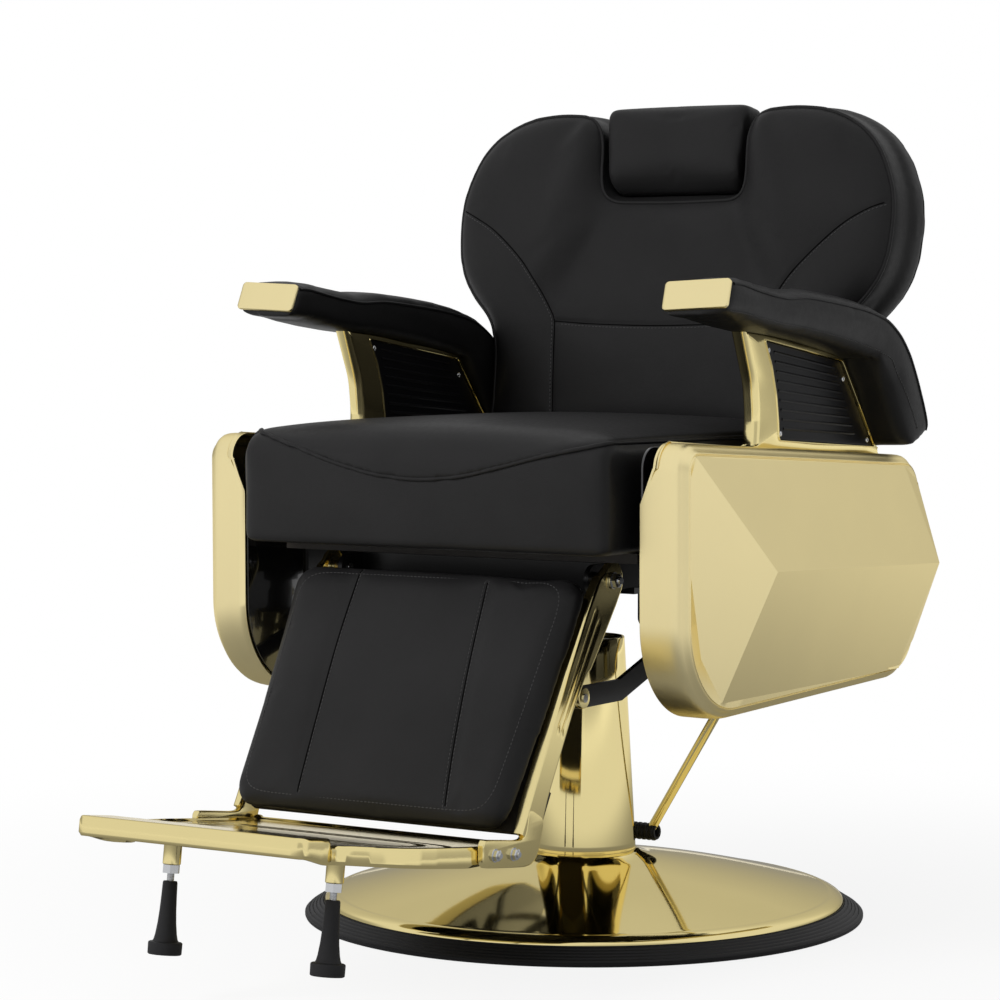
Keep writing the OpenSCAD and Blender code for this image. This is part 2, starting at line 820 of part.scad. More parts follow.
module back_frame() {
    y0 = back_y2;
    color([0.1, 0.1, 0.1])
        difference() {
            union() {
                for (s = [-1, 1])
                    hand(s)
                        slab(blever_x0, blever_x1)
                            back_lever_outline();
                back_place()
                    union() {
                        for (z = [back_t0 + 26, back_t0 + back_len - 190])
                            translate([-blever_x1, y0, z])
                                cube([2 * blever_x1, 6, 34]);
                        for (s = [-1, 1])
                            translate([s * (blever_x1 - 15) - 15, y0, back_t0 + 10])
                                cube([30, 6, back_len - 146]);
                    }
                // pins of the recline link
                for (s = [-1, 1])
                    hand(s)
                        xcyl(5, link_x0 - 5, blever_x0 + 1, lb[0], lb[1]);
                for (s = [-1, 1])
                    hand(s)
                        xcyl(9.5, link_x0 - 5, link_x0 - 1, lb[0], lb[1]);
                // slotted quadrant on the right hand side
                slab(-blever_x1, -blever_x0)
                    intersection() {
                        translate(o2)
                            circle(r = 80, $fn = 96);
                        translate(o2)
                            polygon([[0, 0], 200 * [cos(-46), sin(-46)], 200 * [cos(-15), sin(-15)],
                                200 * [cos(15), sin(15)], 200 * [cos(34), sin(34)]]);
                    }
            }
            for (s = [-1, 1])
                xcyl(pin_r + run, s * (blever_x0 + 3) - 12, s * (blever_x0 + 3) + 12, o2[0], o2[1]);
            slab(-blever_x1 - 1, -blever_x0 + 1)
                union() {
                    intersection() {
                        translate(o2)
                            difference() {
                                circle(r = 71.6, $fn = 96);
                                circle(r = 58.4, $fn = 96);
                            }
                        translate(o2)
                            polygon([[0, 0], 200 * [cos(-30), sin(-30)], 200 * [cos(-7), sin(-7)],
                                200 * [cos(16), sin(16)]]);
                    }
                    for (t = [-30, 16])
                        translate(o2 + [65 * cos(t), 65 * sin(t)])
                            circle(r = 6.6);
                }
        }
}

// Hinge lever in the side view: link pin, hinge hub, then up behind the board
module back_lever_outline() {
    u = [sin(lean), cos(lean)];
    v = [cos(lean), -sin(lean)];
    p = o2 + v * (back_y2 + 15) + u * 64;
    q = o2 + v * (back_y2 + 15) + u * (back_t0 + back_len - 136);
    union() {
        translate(o2)
            circle(r = 18);
        translate(lb)
            circle(r = 12);
        strip2(lb, o2, 24);
        strip2(o2, p, 30);
        translate(p)
            circle(r = 15);
        strip2(p, q, 30);
    }
}

module headrest_guides() {
    color([0.1, 0.1, 0.1])
        back_place()
            difference() {
                union() {
                    for (s = [-1, 1])
                        translate([s * 50 - 14, back_y2, back_t0 + back_len - 150])
                            cube([28, 24, 60]);
                    translate([-64, back_y2, back_t0 + back_len - 150])
                        cube([128, 5, 60]);
                }
                for (s = [-1, 1])
                    translate([s * 50, back_y2 + 14, back_t0 + back_len - 160])
                        cylinder(r = 6 + run, h = 80);
            }
}

// ---------------------------------------------------------------- headrest

module headrest_posts() {
    z0 = back_t0 + back_len - 280;
    z1 = back_t0 + back_len - 8;
    color([0.78, 0.78, 0.8])
        back_place()
            union() {
                for (s = [-1, 1]) {
                    translate([s * 50, back_y2 + 14, z0])
                        cylinder(r = 6, h = z1 - z0 - 6);
                    translate([s * 50, back_y2 + 14, z1 - 6])
                        rotate([90, 0, 0])
                            cylinder(r = 6, h = back_y2 + 14 - head_y - 4);
                    translate([s * 50, back_y2 + 14, z1 - 6])
                        sphere(r = 6.6);
                }
                translate([-64, head_y, z1 - 40])
                    cube([128, 6, 42]);
            }
}

module headrest_pad() {
    color([0.07, 0.07, 0.07])
        back_place()
            translate([0, head_y - 0.2, back_t0 + back_len - 56])
                rotate([90, 0, 0])
                    cushion(notch_x - 3, 52, 56, 20, 7, 0.22);
}

// ---------------------------------------------------------------- footrest

// Things drawn hanging straight down from the footrest pivot, -y to the front
module foot_place() {
    translate([0, o1[0], o1[1]])
        rotate([-foot_tilt, 0, 0])
            children();
}

// Side view of the arm: y to the rear, z down along the arm
module arm_web() {
    union() {
        circle(r = 20);
        polygon([[-20, 0], [-31, -30], [-31, -352], [10, -352], [18, -300], [20, -118], [27, -112],
            [25, -30], [20, 0]]);
    }
}

module footrest_arm(s) {
    pl = -(crank1) * cos(crank1_a - foot_tilt);
    pr = -crank1 * sin(crank1_a - foot_tilt);
    color([0.86, 0.78, 0.55])
        hand(s)
            difference() {
                union() {
                    foot_place()
                        union() {
                            slab(foot_x - 3, foot_x)
                                arm_web();
                            slab(foot_x - 17, foot_x - 2)
                                polygon([[-31, -30], [-27.5, -30], [-27.5, -345], [-31, -345]]);
                            slab(foot_x - 7, foot_x - 2)
                                polygon([[27, -112], [23.6, -108], [21.6, -30], [25, -30]]);
                            xcyl(15, hub_x0, foot_x, 0, 0);
                            xcyl(12, link_x1 + 0.4, foot_x - 2, pr, pl);
                        }
                    // foot that grips the side of the footplate
                    slab(foot_x - 8, foot_x)
                        foot_tab();
                }
                foot_place()
                    union() {
                        xcyl(6 + run, hub_x0 - 20, foot_x + 5, 0, 0);
                        xcyl(5, link_x1 - 3, foot_x + 5, pr, pl);
                        slab(foot_x - 0.8, foot_x + 1)
                            arm_grooves();
                    }
                for (q = tab_bolts)
                    xcyl(5.02, foot_x - 12, foot_x + 5, q[0], q[1]);
            }
}

tab_bolts = [[-507, 161], [-469, 157]];
// Front face of the leg pad board, from the line of the footrest arms
pad_y = -20;

module foot_tab() {
    union() {
        polygon([[-526, 179.5], [-538, 168], [-538, 160], [-528, 148], [-440, 138], [-424, 142],
            [-418, 154], [-437, 180], [-470, 186]]);
    }
}

module arm_grooves() {
    for (q = [[-9, -48, -170], [6, -56, -180]])
        union() {
            translate([q[0] - 2.5, q[2]])
                square([5, q[1] - q[2]]);
            translate([q[0], q[1]])
                circle(r = 2.5);
            translate([q[0], q[2]])
                circle(r = 2.5);
        }
}

module leg_pad_board() {
    w = foot_x - 17.5;
    color([0.06, 0.06, 0.06])
        foot_place()
            union() {
                translate([-w, pad_y, -324])
                    cube([2 * w, 9, 290]);
                // cross straps with a tab on each arm
                for (z = [-80, -300])
                    translate([-foot_x + 3, pad_y + 3, z])
                        cube([2 * foot_x - 6, 4, 36]);
                for (z = [-80, -300], k = [-1, 1])
                    translate([k * (foot_x - 4.5) - 1.5, pad_y + 3, z])
                        cube([3, 24, 36]);
            }
}

module leg_pad() {
    color([0.07, 0.07, 0.07])
        foot_place()
            translate([0, pad_y - 0.2, -177])
                rotate([90, 0, 0])
                    skin(leg_rings(40, 40, 16, foot_x - 24));
}

// Rings of the leg pad: n points, height h, edge rounding r, half width w, narrower at the bottom
function leg_rings(n, h, r, w) = concat(
    [for (t = [0:30:90])
        [for (q = section(w - 9 * (1 - sin(t)), 148 - 9 * (1 - sin(t)), 0.2, n))
            [q[0] * (1 + 0.03 * q[1] / 148), q[1], 9 * (1 - cos(t))]]],
    [for (t = [0:22.5:90])
        [for (q = section(w - r * (1 - cos(t)), 148 - r * (1 - cos(t)), 0.2, n))
            [q[0] * (1 + 0.03 * q[1] / 148), q[1], h - r + r * sin(t)]]],
    [for (k = [0.8, 0.55, 0.28])
        [for (q = section((w - r) * k, (148 - r) * k, 0.2, n))
            [q[0] * (1 + 0.03 * q[1] / 148), q[1], h + 4 * (1 - k * k)]]]);

// Footplate in its own plane: origin at the middle of the front edge of the top
module plate_place() {
    translate([0, -806, 217])
        rotate([-plate_tilt, 0, 0])
            children();
}

// Right hand half of the outline of the footplate, pulled in by w
function plate_side(w) =
    let (x = foot_x - w)
    [[x - 21, 384 - w], [x - 21, 268 - w], [x - 8, 262 - w], [x - 8, 190], [x - 15, 140],
        [x - 27, 112 + w / 2], [x - 49, 84 + w / 2], [x - 61, 62 + w], [x - 65, 50 + w]];

// Whole outline of the footplate, pulled in by w
function plate_points(w) =
    let (q = plate_side(w))
    concat(q, [for (i = [8:-1:0]) [-q[i][0], q[i][1]]]);

module footplate() {
    color([0.86, 0.78, 0.55])
        difference() {
            plate_place()
                difference() {
                    union() {
                        // low middle part
                        translate([0, 0, -plate_t])
                            linear_extrude(height = plate_t - 8)
                                polygon(plate_points(0));
                        // front bar
                        translate([0, 0, -plate_t])
                            linear_extrude(height = plate_t)
                                bar_outline();
                        // side blocks beside the arms
                        for (s = [-1, 1])
                            translate([s * (foot_x - 16) - 8, 262, -plate_t - 6])
                                cube([16, 122, 34]);
                        // rear edge
                        translate([19 - foot_x, 374, -plate_t])
                            cube([2 * foot_x - 38, 10, plate_t + 4]);
                    }
                    // pocket under the plate, with a boss for each foot
                    translate([0, 0, -plate_t - 1])
                        linear_extrude(height = plate_t - 15)
                            difference() {
                                polygon(plate_points(12));
                                for (s = [-1, 1])
                                    translate([s * foot_sx, 122])
                                        circle(r = 15);
                            }
                    // long oval grooves of the tread
                    for (q = [[foot_x - 79, 40], [foot_x - 103, 24]])
                        translate([0, 205, -9.4])
                            difference() {
                                oval(q[0], q[1], 2);
                                oval(q[0] - 4, q[1] - 4, 3);
                            }
                    for (s = [-1, 1])
                        translate([s * foot_sx, 122, -plate_t - 1])
                            cylinder(r = 4.05, h = plate_t);
                }
            for (q = tab_bolts, s = [-1, 1])
                hand(s)
                    xcyl(5.02, foot_x - 39, foot_x + 5, q[0], q[1]);
            // faces against the arms
            for (s = [-1, 1])
                hand(s)
                    translate([foot_x - 8, -545, 100])
                        cube([30, 160, 140]);
            for (s = [-1, 1])
                hand(s)
                    foot_place()
                        translate([foot_x - 18, -32, -360])
                            cube([20, 70, 100]);
        }
}

module oval(a, b, h) {
    translate([0, 0, -0.01])
        linear_extrude(height = h)
            union() {
                translate([-a, -b])
                    square([2 * a, 2 * b]);
                for (s = [-1, 1])
                    translate([s * a, 0])
                        circle(r = b);
            }
}

module bar_outline() {
    union() {
        translate([-bar_x + 12, 0])
            square([2 * bar_x - 24, 62]);
        translate([-bar_x, 12])
            square([2 * bar_x, 38]);
        for (s = [-1, 1], y = [12, 50])
            translate([s * (bar_x - 12), y])
                circle(r = 12);
    }
}

module footplate_bolts() {
    color([0.8, 0.8, 0.82])
        for (s = [-1, 1], q = tab_bolts)
            hand(s)
                union() {
                    xcyl(5, foot_x - 31, foot_x, q[0], q[1]);
                    xcyl(11, foot_x, foot_x + 3, q[0], q[1]);
                    xhex(15, foot_x + 3, foot_x + 8, q[0], q[1]);
                }
}

module foot_bosses() {
    color([0.86, 0.78, 0.55])
        plate_place()
            for (s = [-1, 1])
                translate([s * foot_sx, 122, -plate_t - 28])
                    difference() {
                        cylinder(r = 10, h = 28);
                        translate([0, 0, -1])
                            cylinder(r = 4.05, h = 30);
                    }
}

module support_foot(s) {
    color([0.06, 0.06, 0.06])
        plate_place()
            translate([s * foot_sx, 122, -plate_t - 28])
                union() {
                    translate([0, 0, -20])
                        cylinder(r = 4, h = 40);
                    translate([0, 0, -88])
                        cylinder(r1 = 13, r2 = 7, h = 70);
                    translate([0, 0, -98])
                        cylinder(r = 19, h = 10.5);
                    translate([0, 0, -87.5])
                        cylinder(r1 = 19, r2 = 13, h = 2.5);
                }
}

module foot_nut(s) {
    color([0.8, 0.8, 0.82])
        plate_place()
            translate([s * foot_sx, 122, -plate_t - 28 - 9.4])
                difference() {
                    cylinder(r = 17 / sqrt(3), h = 9, $fn = 6);
                    translate([0, 0, -1])
                        cylinder(r = 4.03, h = 12);
                }
}

// ---------------------------------------------------------------- recline links

module link(s) {
    color([0.06, 0.06, 0.06])
        hand(s)
            slab(link_x0, link_x1)
                difference() {
                    polygon(bar_points([la, [-232, la[1]], [-150, la[1] + 27], lb], 12.5));
                    translate(la)
                        circle(r = 5 + run);
                    translate(lb)
                        circle(r = 5 + open_gap);
                }
}

module link_bolts() {
    color([0.75, 0.75, 0.77])
        for (s = [-1, 1])
            hand(s)
                union() {
                    xcyl(5, link_x0 - 6, foot_x - 0.4, la[0], la[1]);
                    xcyl(9, link_x0 - 6, link_x0 - 0.4, la[0], la[1]);
                }
}

// ---------------------------------------------------------------- nodes

base_ring();
base_plate();
base_disc();
pump_cover();
pump_barrel();
barrel_bolts();
pump_ram();
pump_head();
lever_pin();
seat_frame();
frame_bolts();
seat_board();
seat_cushion();
footrest_pivot_bolts();
back_hinge_pins();
recline_clamp_stud();
side_plate(1);  // side_plate_left
side_plate(-1);  // side_plate_right
side_panel(1);  // side_panel_left
side_panel(-1);  // side_panel_right
arm_frame(1);  // arm_frame_left
arm_frame(-1);  // arm_frame_right
arm_insert(1);  // arm_insert_left
arm_insert(-1);  // arm_insert_right
arm_screws(1);  // arm_screws_left
arm_screws(-1);  // arm_screws_right
arm_pad(1);  // arm_pad_left
arm_pad(-1);  // arm_pad_right
arm_cap(1);  // arm_cap_left
arm_cap(-1);  // arm_cap_right
pump_lever();
lever_grip();
recline_handle();
handle_knob();
back_frame();
back_board();
back_cushion();
headrest_guides();
headrest_posts();
headrest_pad();
footrest_arm(1);  // footrest_arm_left
footrest_arm(-1);  // footrest_arm_right
leg_pad_board();
leg_pad();
footplate();
footplate_bolts();
foot_bosses();
link(1);  // link_left
link(-1);  // link_right
link_bolts();
support_foot(1);  // support_foot_left
support_foot(-1);  // support_foot_right
foot_nut(1);  // foot_nut_left
foot_nut(-1);  // foot_nut_right
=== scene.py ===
import json
import math

import bpy
import bmesh
import numpy as np
from mathutils import Matrix, Vector
from mathutils.bvhtree import BVHTree


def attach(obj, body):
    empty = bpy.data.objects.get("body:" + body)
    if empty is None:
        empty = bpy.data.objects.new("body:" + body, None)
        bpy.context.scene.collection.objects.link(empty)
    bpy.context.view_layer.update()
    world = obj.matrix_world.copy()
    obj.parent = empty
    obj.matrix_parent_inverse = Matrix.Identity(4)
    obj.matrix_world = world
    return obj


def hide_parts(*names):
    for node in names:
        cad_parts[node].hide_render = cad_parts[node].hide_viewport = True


bl_info = {
    "name": "Hydraulic barber chair",
    "version": (1, 0, 0),
    "blender": (4, 5, 0),
    "location": "View3D > Sidebar > Barber chair",
    "description": "Upholstery, gold castings, trim and studio of a hydraulic barber chair",
    "category": "Object",
}

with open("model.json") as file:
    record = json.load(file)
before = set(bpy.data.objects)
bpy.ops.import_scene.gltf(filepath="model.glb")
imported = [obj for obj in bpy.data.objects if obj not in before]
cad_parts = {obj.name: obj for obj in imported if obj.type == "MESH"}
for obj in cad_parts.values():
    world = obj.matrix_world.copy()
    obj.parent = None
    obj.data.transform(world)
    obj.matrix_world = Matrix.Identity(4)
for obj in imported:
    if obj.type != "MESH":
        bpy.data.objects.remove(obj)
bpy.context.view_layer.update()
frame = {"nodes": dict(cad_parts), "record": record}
NODES = frame["nodes"]
MM = 0.001
HANDS = (("left", 1), ("right", -1))

# ------------------------------------------------------------------ sizes and colours


def length(name, default, text):
    """A length property in metres, given in millimetres."""
    return bpy.props.FloatProperty(name=name, default=default * MM, min=0.0, unit="LENGTH", subtype="DISTANCE",
                                   description=text)


def colour(name, default, text):
    """A colour property."""
    return bpy.props.FloatVectorProperty(name=name, size=3, default=default, min=0.0, max=1.0, subtype="COLOR",
                                         description=text)


class ChairSizes(bpy.types.PropertyGroup):
    """Sizes of the upholstery and trim that the frame leaves open"""
    piping: length("Piping radius", 2.6, "Radius of the piping along the cushion edges")
    seam: length("Seam depth", 1.5, "Depth of the sewn seams")
    seam_width: length("Seam half width", 2.8, "Half width of the dip beside a sewn seam")
    stitch: length("Stitch length", 3.4, "Length of one stitch")
    pitch: length("Stitch pitch", 5.2, "Distance between stitches")
    puff: length("Padding rise", 4.5, "How far the padding may swell under its cover")
    back_roll: length("Backrest edge roll", 44, "Width of the rolled edge of the backrest")
    back_rise: length("Backrest lobe rise", 19, "Rise of the backrest lobes over their edge")
    arm_ribs: bpy.props.IntProperty(name="Insert ribs", default=9, min=2, max=16,
                                    description="Ribs on each black armrest insert")
    ring_ribs: bpy.props.IntProperty(name="Base ring ribs", default=5, min=2, max=8,
                                     description="Ribs round the rubber base ring")


class ChairColours(bpy.types.PropertyGroup):
    """Colours of the finishes"""
    leather: colour("Upholstery", (0.0112, 0.011, 0.0113), "Black leatherette")
    satin_gold: colour("Satin gold", (0.95, 0.82, 0.45), "Champagne gold side panels and caps")
    mirror_gold: colour("Polished gold", (0.85, 0.725, 0.355), "Mirror polished gold plating")
    chrome: colour("Chrome", (0.62, 0.63, 0.65), "Chrome and zinc")
    rubber: colour("Rubber", (0.012, 0.012, 0.013), "Black rubber")
    gloss: colour("Gloss black", (0.006, 0.006, 0.007), "Gloss black plate")
    paint: colour("Black paint", (0.006, 0.006, 0.0065), "Black painted steel")
    board: colour("Board", (0.02, 0.017, 0.014), "Stained board")


def sizes():
    return bpy.context.scene.chair_sizes


def colours():
    return bpy.context.scene.chair_colours


# ------------------------------------------------------------------ shader groups


def new_group(name, inputs, outputs):
    """An empty shader group with named sockets; returns it with its input and output node."""
    group = bpy.data.node_groups.new(name, "ShaderNodeTree")
    for label, kind, value in inputs:
        socket = group.interface.new_socket(label, in_out="INPUT", socket_type=kind)
        if value is not None:
            socket.default_value = value
    for label, kind in outputs:
        group.interface.new_socket(label, in_out="OUTPUT", socket_type=kind)
    return group, group.nodes.new("NodeGroupInput"), group.nodes.new("NodeGroupOutput")


def feed(tree, socket, value):
    """Links an output to a socket, or sets the socket to a plain value."""
    if isinstance(value, bpy.types.Node):
        value = value.outputs[0]
    if isinstance(value, bpy.types.NodeSocket):
        tree.links.new(value, socket)
    else:
        socket.default_value = value


def put(tree, kind, **values):
    """Adds a node; keys are attributes or input names, and values are plain, nodes or outputs."""
    node = tree.nodes.new(kind)
    for key, value in values.items():
        if hasattr(node, key):
            setattr(node, key, value)
        else:
            feed(tree, node.inputs[key.replace("_", " ")], value)
    return node


def math_node(tree, op, a, b, clamp=False):
    """Output of a sum on two numbers or outputs."""
    node = put(tree, "ShaderNodeMath", operation=op, use_clamp=clamp)
    feed(tree, node.inputs[0], a)
    feed(tree, node.inputs[1], b)
    return node.outputs[0]


def vector_node(tree, op, a, output=0, **values):
    """Output of a step on a vector."""
    node = put(tree, "ShaderNodeVectorMath", operation=op, **values)
    feed(tree, node.inputs[0], a)
    return node.outputs[output]


def ramp(tree, value, low, high, first, last, kind="SMOOTHSTEP"):
    """Takes a value from low..high to first..last."""
    return put(tree, "ShaderNodeMapRange", interpolation_type=kind, Value=value, From_Min=low, From_Max=high,
               To_Min=first, To_Max=last).outputs[0]


def mix_shaders(tree, factor, first, second):
    """The first shader where the factor is 0, the second where it is 1."""
    node = put(tree, "ShaderNodeMixShader")
    for socket, value in zip(node.inputs, (factor, first, second)):
        feed(tree, socket, value)
    return node


def leather_group():
    """Fine pebble grain, soft wrinkles and a slow change of tone."""
    group = bpy.data.node_groups.get("leather_grain")
    if group:
        return group
    group, start, end = new_group(
        "leather_grain",
        [("Vector", "NodeSocketVector", None), ("Colour", "NodeSocketColor", (0.01, 0.01, 0.01, 1)),
         ("Grain scale", "NodeSocketFloat", 900.0), ("Grain depth", "NodeSocketFloat", 0.00010),
         ("Roughness", "NodeSocketFloat", 0.45)],
        [("Colour", "NodeSocketColor"), ("Roughness", "NodeSocketFloat"), ("Height", "NodeSocketFloat")])
    given, place = start.outputs, start.outputs["Vector"]
    cells = put(group, "ShaderNodeTexVoronoi", feature="SMOOTH_F1", Smoothness=0.6, Vector=place,
                Scale=given["Grain scale"])
    wrinkle = put(group, "ShaderNodeTexNoise", Scale=160.0, Detail=3.0, Roughness=0.6, Vector=place)
    slow = put(group, "ShaderNodeTexNoise", Scale=9.0, Detail=2.0, Vector=place)
    grain = math_node(group, "ADD", math_node(group, "MULTIPLY", cells.outputs["Distance"], 0.8),
                      math_node(group, "MULTIPLY", wrinkle.outputs["Fac"], 1.3))
    feed(group, end.inputs["Height"], math_node(group, "MULTIPLY", grain, given["Grain depth"]))
    tone = ramp(group, slow.outputs["Fac"], 0.3, 0.7, 0.88, 1.14, "LINEAR")
    feed(group, end.inputs["Colour"], vector_node(group, "SCALE", given["Colour"], Scale=tone))
    uneven = math_node(group, "MULTIPLY", math_node(group, "SUBTRACT", wrinkle.outputs["Fac"], 0.5), 0.18)
    feed(group, end.inputs["Roughness"], math_node(group, "ADD", given["Roughness"], uneven))
    return group


def wear_group():
    """Slow tone change, faint handling smears and fine scuffs of a hard surface."""
    group = bpy.data.node_groups.get("fine_wear")
    if group:
        return group
    group, start, end = new_group(
        "fine_wear",
        [("Vector", "NodeSocketVector", None), ("Colour", "NodeSocketColor", (0.5, 0.5, 0.5, 1)),
         ("Roughness", "NodeSocketFloat", 0.2), ("Smear", "NodeSocketFloat", 0.04),
         ("Grain", "NodeSocketFloat", 0.00001), ("Grain scale", "NodeSocketFloat", 500.0)],
        [("Colour", "NodeSocketColor"), ("Roughness", "NodeSocketFloat"), ("Height", "NodeSocketFloat")])
    given, place = start.outputs, start.outputs["Vector"]
    slow = put(group, "ShaderNodeTexNoise", Scale=7.0, Detail=3.0, Roughness=0.55, Vector=place)
    fine = put(group, "ShaderNodeTexNoise", Detail=2.0, Vector=place, Scale=given["Grain scale"])
    scuff = put(group, "ShaderNodeTexNoise", Scale=42.0, Detail=6.0, Roughness=0.7, Distortion=1.2, Vector=place)
    tone = ramp(group, slow.outputs["Fac"], 0.0, 1.0, 0.96, 1.04, "LINEAR")
    feed(group, end.inputs["Colour"], vector_node(group, "SCALE", given["Colour"], Scale=tone))
    marks = math_node(group, "POWER", scuff.outputs["Fac"], 2.0)
    both = math_node(group, "ADD", math_node(group, "SUBTRACT", slow.outputs["Fac"], 0.5), marks)
    smear = math_node(group, "MULTIPLY", both, given["Smear"])
    feed(group, end.inputs["Roughness"], math_node(group, "ADD", given["Roughness"], smear, clamp=True))
    feed(group, end.inputs["Height"], math_node(group, "MULTIPLY", fine.outputs["Fac"], given["Grain"]))
    return group


def material(name, group, colour_value, fixed=None, **values):
    """A material whose Principled shader is fed by one of the shared groups."""
    made = bpy.data.materials.get(name)
    if made:
        return made
    made = bpy.data.materials.new(name)
    made.use_nodes = True
    tree = made.node_tree
    shader = tree.nodes["Principled BSDF"]
    effect = put(tree, "ShaderNodeGroup", node_tree=group)
    feed(tree, effect.inputs["Vector"], put(tree, "ShaderNodeTexCoord").outputs["Object"])
    effect.inputs["Colour"].default_value = (*colour_value, 1)
    for key, value in values.items():
        effect.inputs[key.replace("_", " ").capitalize()].default_value = value
    bump = put(tree, "ShaderNodeBump", Distance=1.0, Height=effect.outputs["Height"])
    feed(tree, shader.inputs["Base Color"], effect.outputs["Colour"])
    feed(tree, shader.inputs["Roughness"], effect.outputs["Roughness"])
    feed(tree, shader.inputs["Normal"], bump)
    for key, value in (fixed or {}).items():
        shader.inputs[key].default_value = value
    return made


def finishes():
    """Every finish by the name of its slot in the record."""
    c = colours()
    leather, wear = leather_group(), wear_group()
    metal = {"Metallic": 1.0}
    gold = {"Metallic": 1.0, "Specular Tint": (0.98, 0.92, 0.72, 1)}
    # slot: material name, colour, fixed inputs, then roughness, smear, grain and grain scale of the wear
    hard = {
        "gold_satin": ("satin_champagne_gold", c.satin_gold, gold, 0.36, 0.04, 0.000012, 1400.0),
        "gold_polished": ("polished_gold", c.mirror_gold, gold, 0.055, 0.03, 0.0, 500.0),
        "gold_pressed": ("pressed_gold_plate", c.mirror_gold, gold, 0.16, 0.04, 0.000002, 300.0),
        "gold_cast": ("cast_gold_plate", c.mirror_gold, gold, 0.12, 0.04, 0.000002, 220.0),
        "chrome": ("hard_chrome", c.chrome, metal, 0.08, 0.05, 0.0, 500.0),
        "zinc_fasteners": ("zinc_plate", c.chrome, metal, 0.2, 0.12, 0.00001, 900.0),
        "black_rubber": ("moulded_rubber", c.rubber, {"Specular IOR Level": 0.25}, 0.5, 0.12, 0.00003, 900.0),
        "black_gloss_plate": ("gloss_black_plate", c.gloss, {"Coat Weight": 1.0}, 0.1, 0.03, 0.0, 500.0),
        "black_plastic": ("moulded_black_plastic", c.gloss, {"Specular IOR Level": 0.12}, 0.35, 0.08, 0.00001,
                          1200.0),
        "black_steel": ("painted_black_steel", c.paint, {"Specular IOR Level": 0.3}, 0.3, 0.12, 0.00003, 700.0),
        "steel_plate": ("raw_steel_plate", (0.22, 0.22, 0.23), metal, 0.42, 0.2, 0.00003, 500.0),
        "black_board": ("stained_board", c.board, None, 0.7, 0.1, 0.0001, 320.0),
        "thread": ("black_thread", (0.034, 0.034, 0.0345), {"Sheen Weight": 0.1}, 0.55, 0.1, 0.0001, 3000.0),
        # seam: near-black cord without sheen laid in the seam grooves, painted shade of the seams
        "seam": ("sewn_joint", (0.004, 0.004, 0.004), {"Specular IOR Level": 0.02}, 0.8, 0.1, 0.0, 500.0),
    }
    table = {slot: material(name, wear, tone, fixed, roughness=rough, smear=smear, grain=grain, grain_scale=scale)
             for slot, (name, tone, fixed, rough, smear, grain, scale) in hard.items()}
    table["black_upholstery"] = material("black_leatherette", leather, c.leather, {"Specular IOR Level": 0.17},
                                         roughness=0.45)
    return table


# ------------------------------------------------------------------ mesh helpers


def linked(name, data):
    """A new object in the scene."""
    made = bpy.data.objects.new(name, data)
    bpy.context.scene.collection.objects.link(made)
    return made


def to_object(name, verts, faces):
    """An object from points in millimetres."""
    mesh = bpy.data.meshes.new(name)
    mesh.from_pydata([tuple(np.asarray(v, float) * MM) for v in verts], [], [tuple(map(int, f)) for f in faces])
    mesh.validate()
    return linked(name, mesh)


def tidy(thing, merge=1e-5, normals=True):
    """Merges doubles and points the faces outward."""
    bm = bmesh.new()
    bm.from_mesh(thing.data)
    bmesh.ops.remove_doubles(bm, verts=bm.verts, dist=merge)
    if normals:
        bmesh.ops.recalc_face_normals(bm, faces=bm.faces)
    bm.to_mesh(thing.data)
    bm.free()
    return thing


def shade(thing, angle=32):
    """Smooth shading with edges over the angle sharp; 0 keeps all edges smooth."""
    thing.data.shade_smooth()
    if angle:
        thing.data.set_sharp_from_angle(angle=math.radians(angle))
    return thing


def bake(thing):
    """Replaces the mesh by its evaluated one, and drops the modifiers."""
    graph = bpy.context.evaluated_depsgraph_get()
    graph.update()
    mesh = bpy.data.meshes.new_from_object(thing.evaluated_get(graph))
    thing.modifiers.clear()
    thing.data = mesh
    return thing


def modify(thing, kind, **settings):
    """Runs one modifier and keeps its result as the mesh."""
    modifier = thing.modifiers.new("step", kind)
    for key, value in settings.items():
        setattr(modifier, key, value)
    return bake(thing)


def flesh(thing, body, slot, replaces=(), finish=None):
    """Gives a piece its finish, its body and the nodes it stands for."""
    thing.data.materials.clear()
    thing.data.materials.append(finishes()[finish or slot])
    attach(thing, body)
    if replaces:
        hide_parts(*replaces)
    return thing


def mm(x, y, z):
    """A point given in millimetres."""
    return Vector((x, y, z)) * MM


def mirrored(points, side):
    """Points on the sitter's left (side 1) or right (side -1)."""
    return [(side * p[0], p[1], p[2]) for p in points]


def flip_x(thing, side):
    """Mirrors a piece to the sitter's right when side is -1."""
    if side < 0:
        thing.data.transform(Matrix.Scale(-1, 4, (1, 0, 0)))
        thing.data.flip_normals()
    return thing


def tube_faces(rows, n):
    """Quads between rows of n points that each close round."""
    return [(j * n + i, j * n + (i + 1) % n, (j + 1) * n + (i + 1) % n, (j + 1) * n + i)
            for j in range(rows - 1) for i in range(n)]


def loft(name, rings):
    """Skin over rings of equal counts, closed by a fan at both ends."""
    rings = [np.asarray(r, float) for r in rings]
    n = len(rings[0])
    verts = list(np.concatenate(rings))
    faces = tube_faces(len(rings), n)
    for j in (0, len(rings) - 1):
        faces += [(j * n + i, j * n + (i + 1) % n, len(verts)) for i in range(n)]
        verts.append(rings[j].mean(0))
    return tidy(to_object(name, verts, faces))


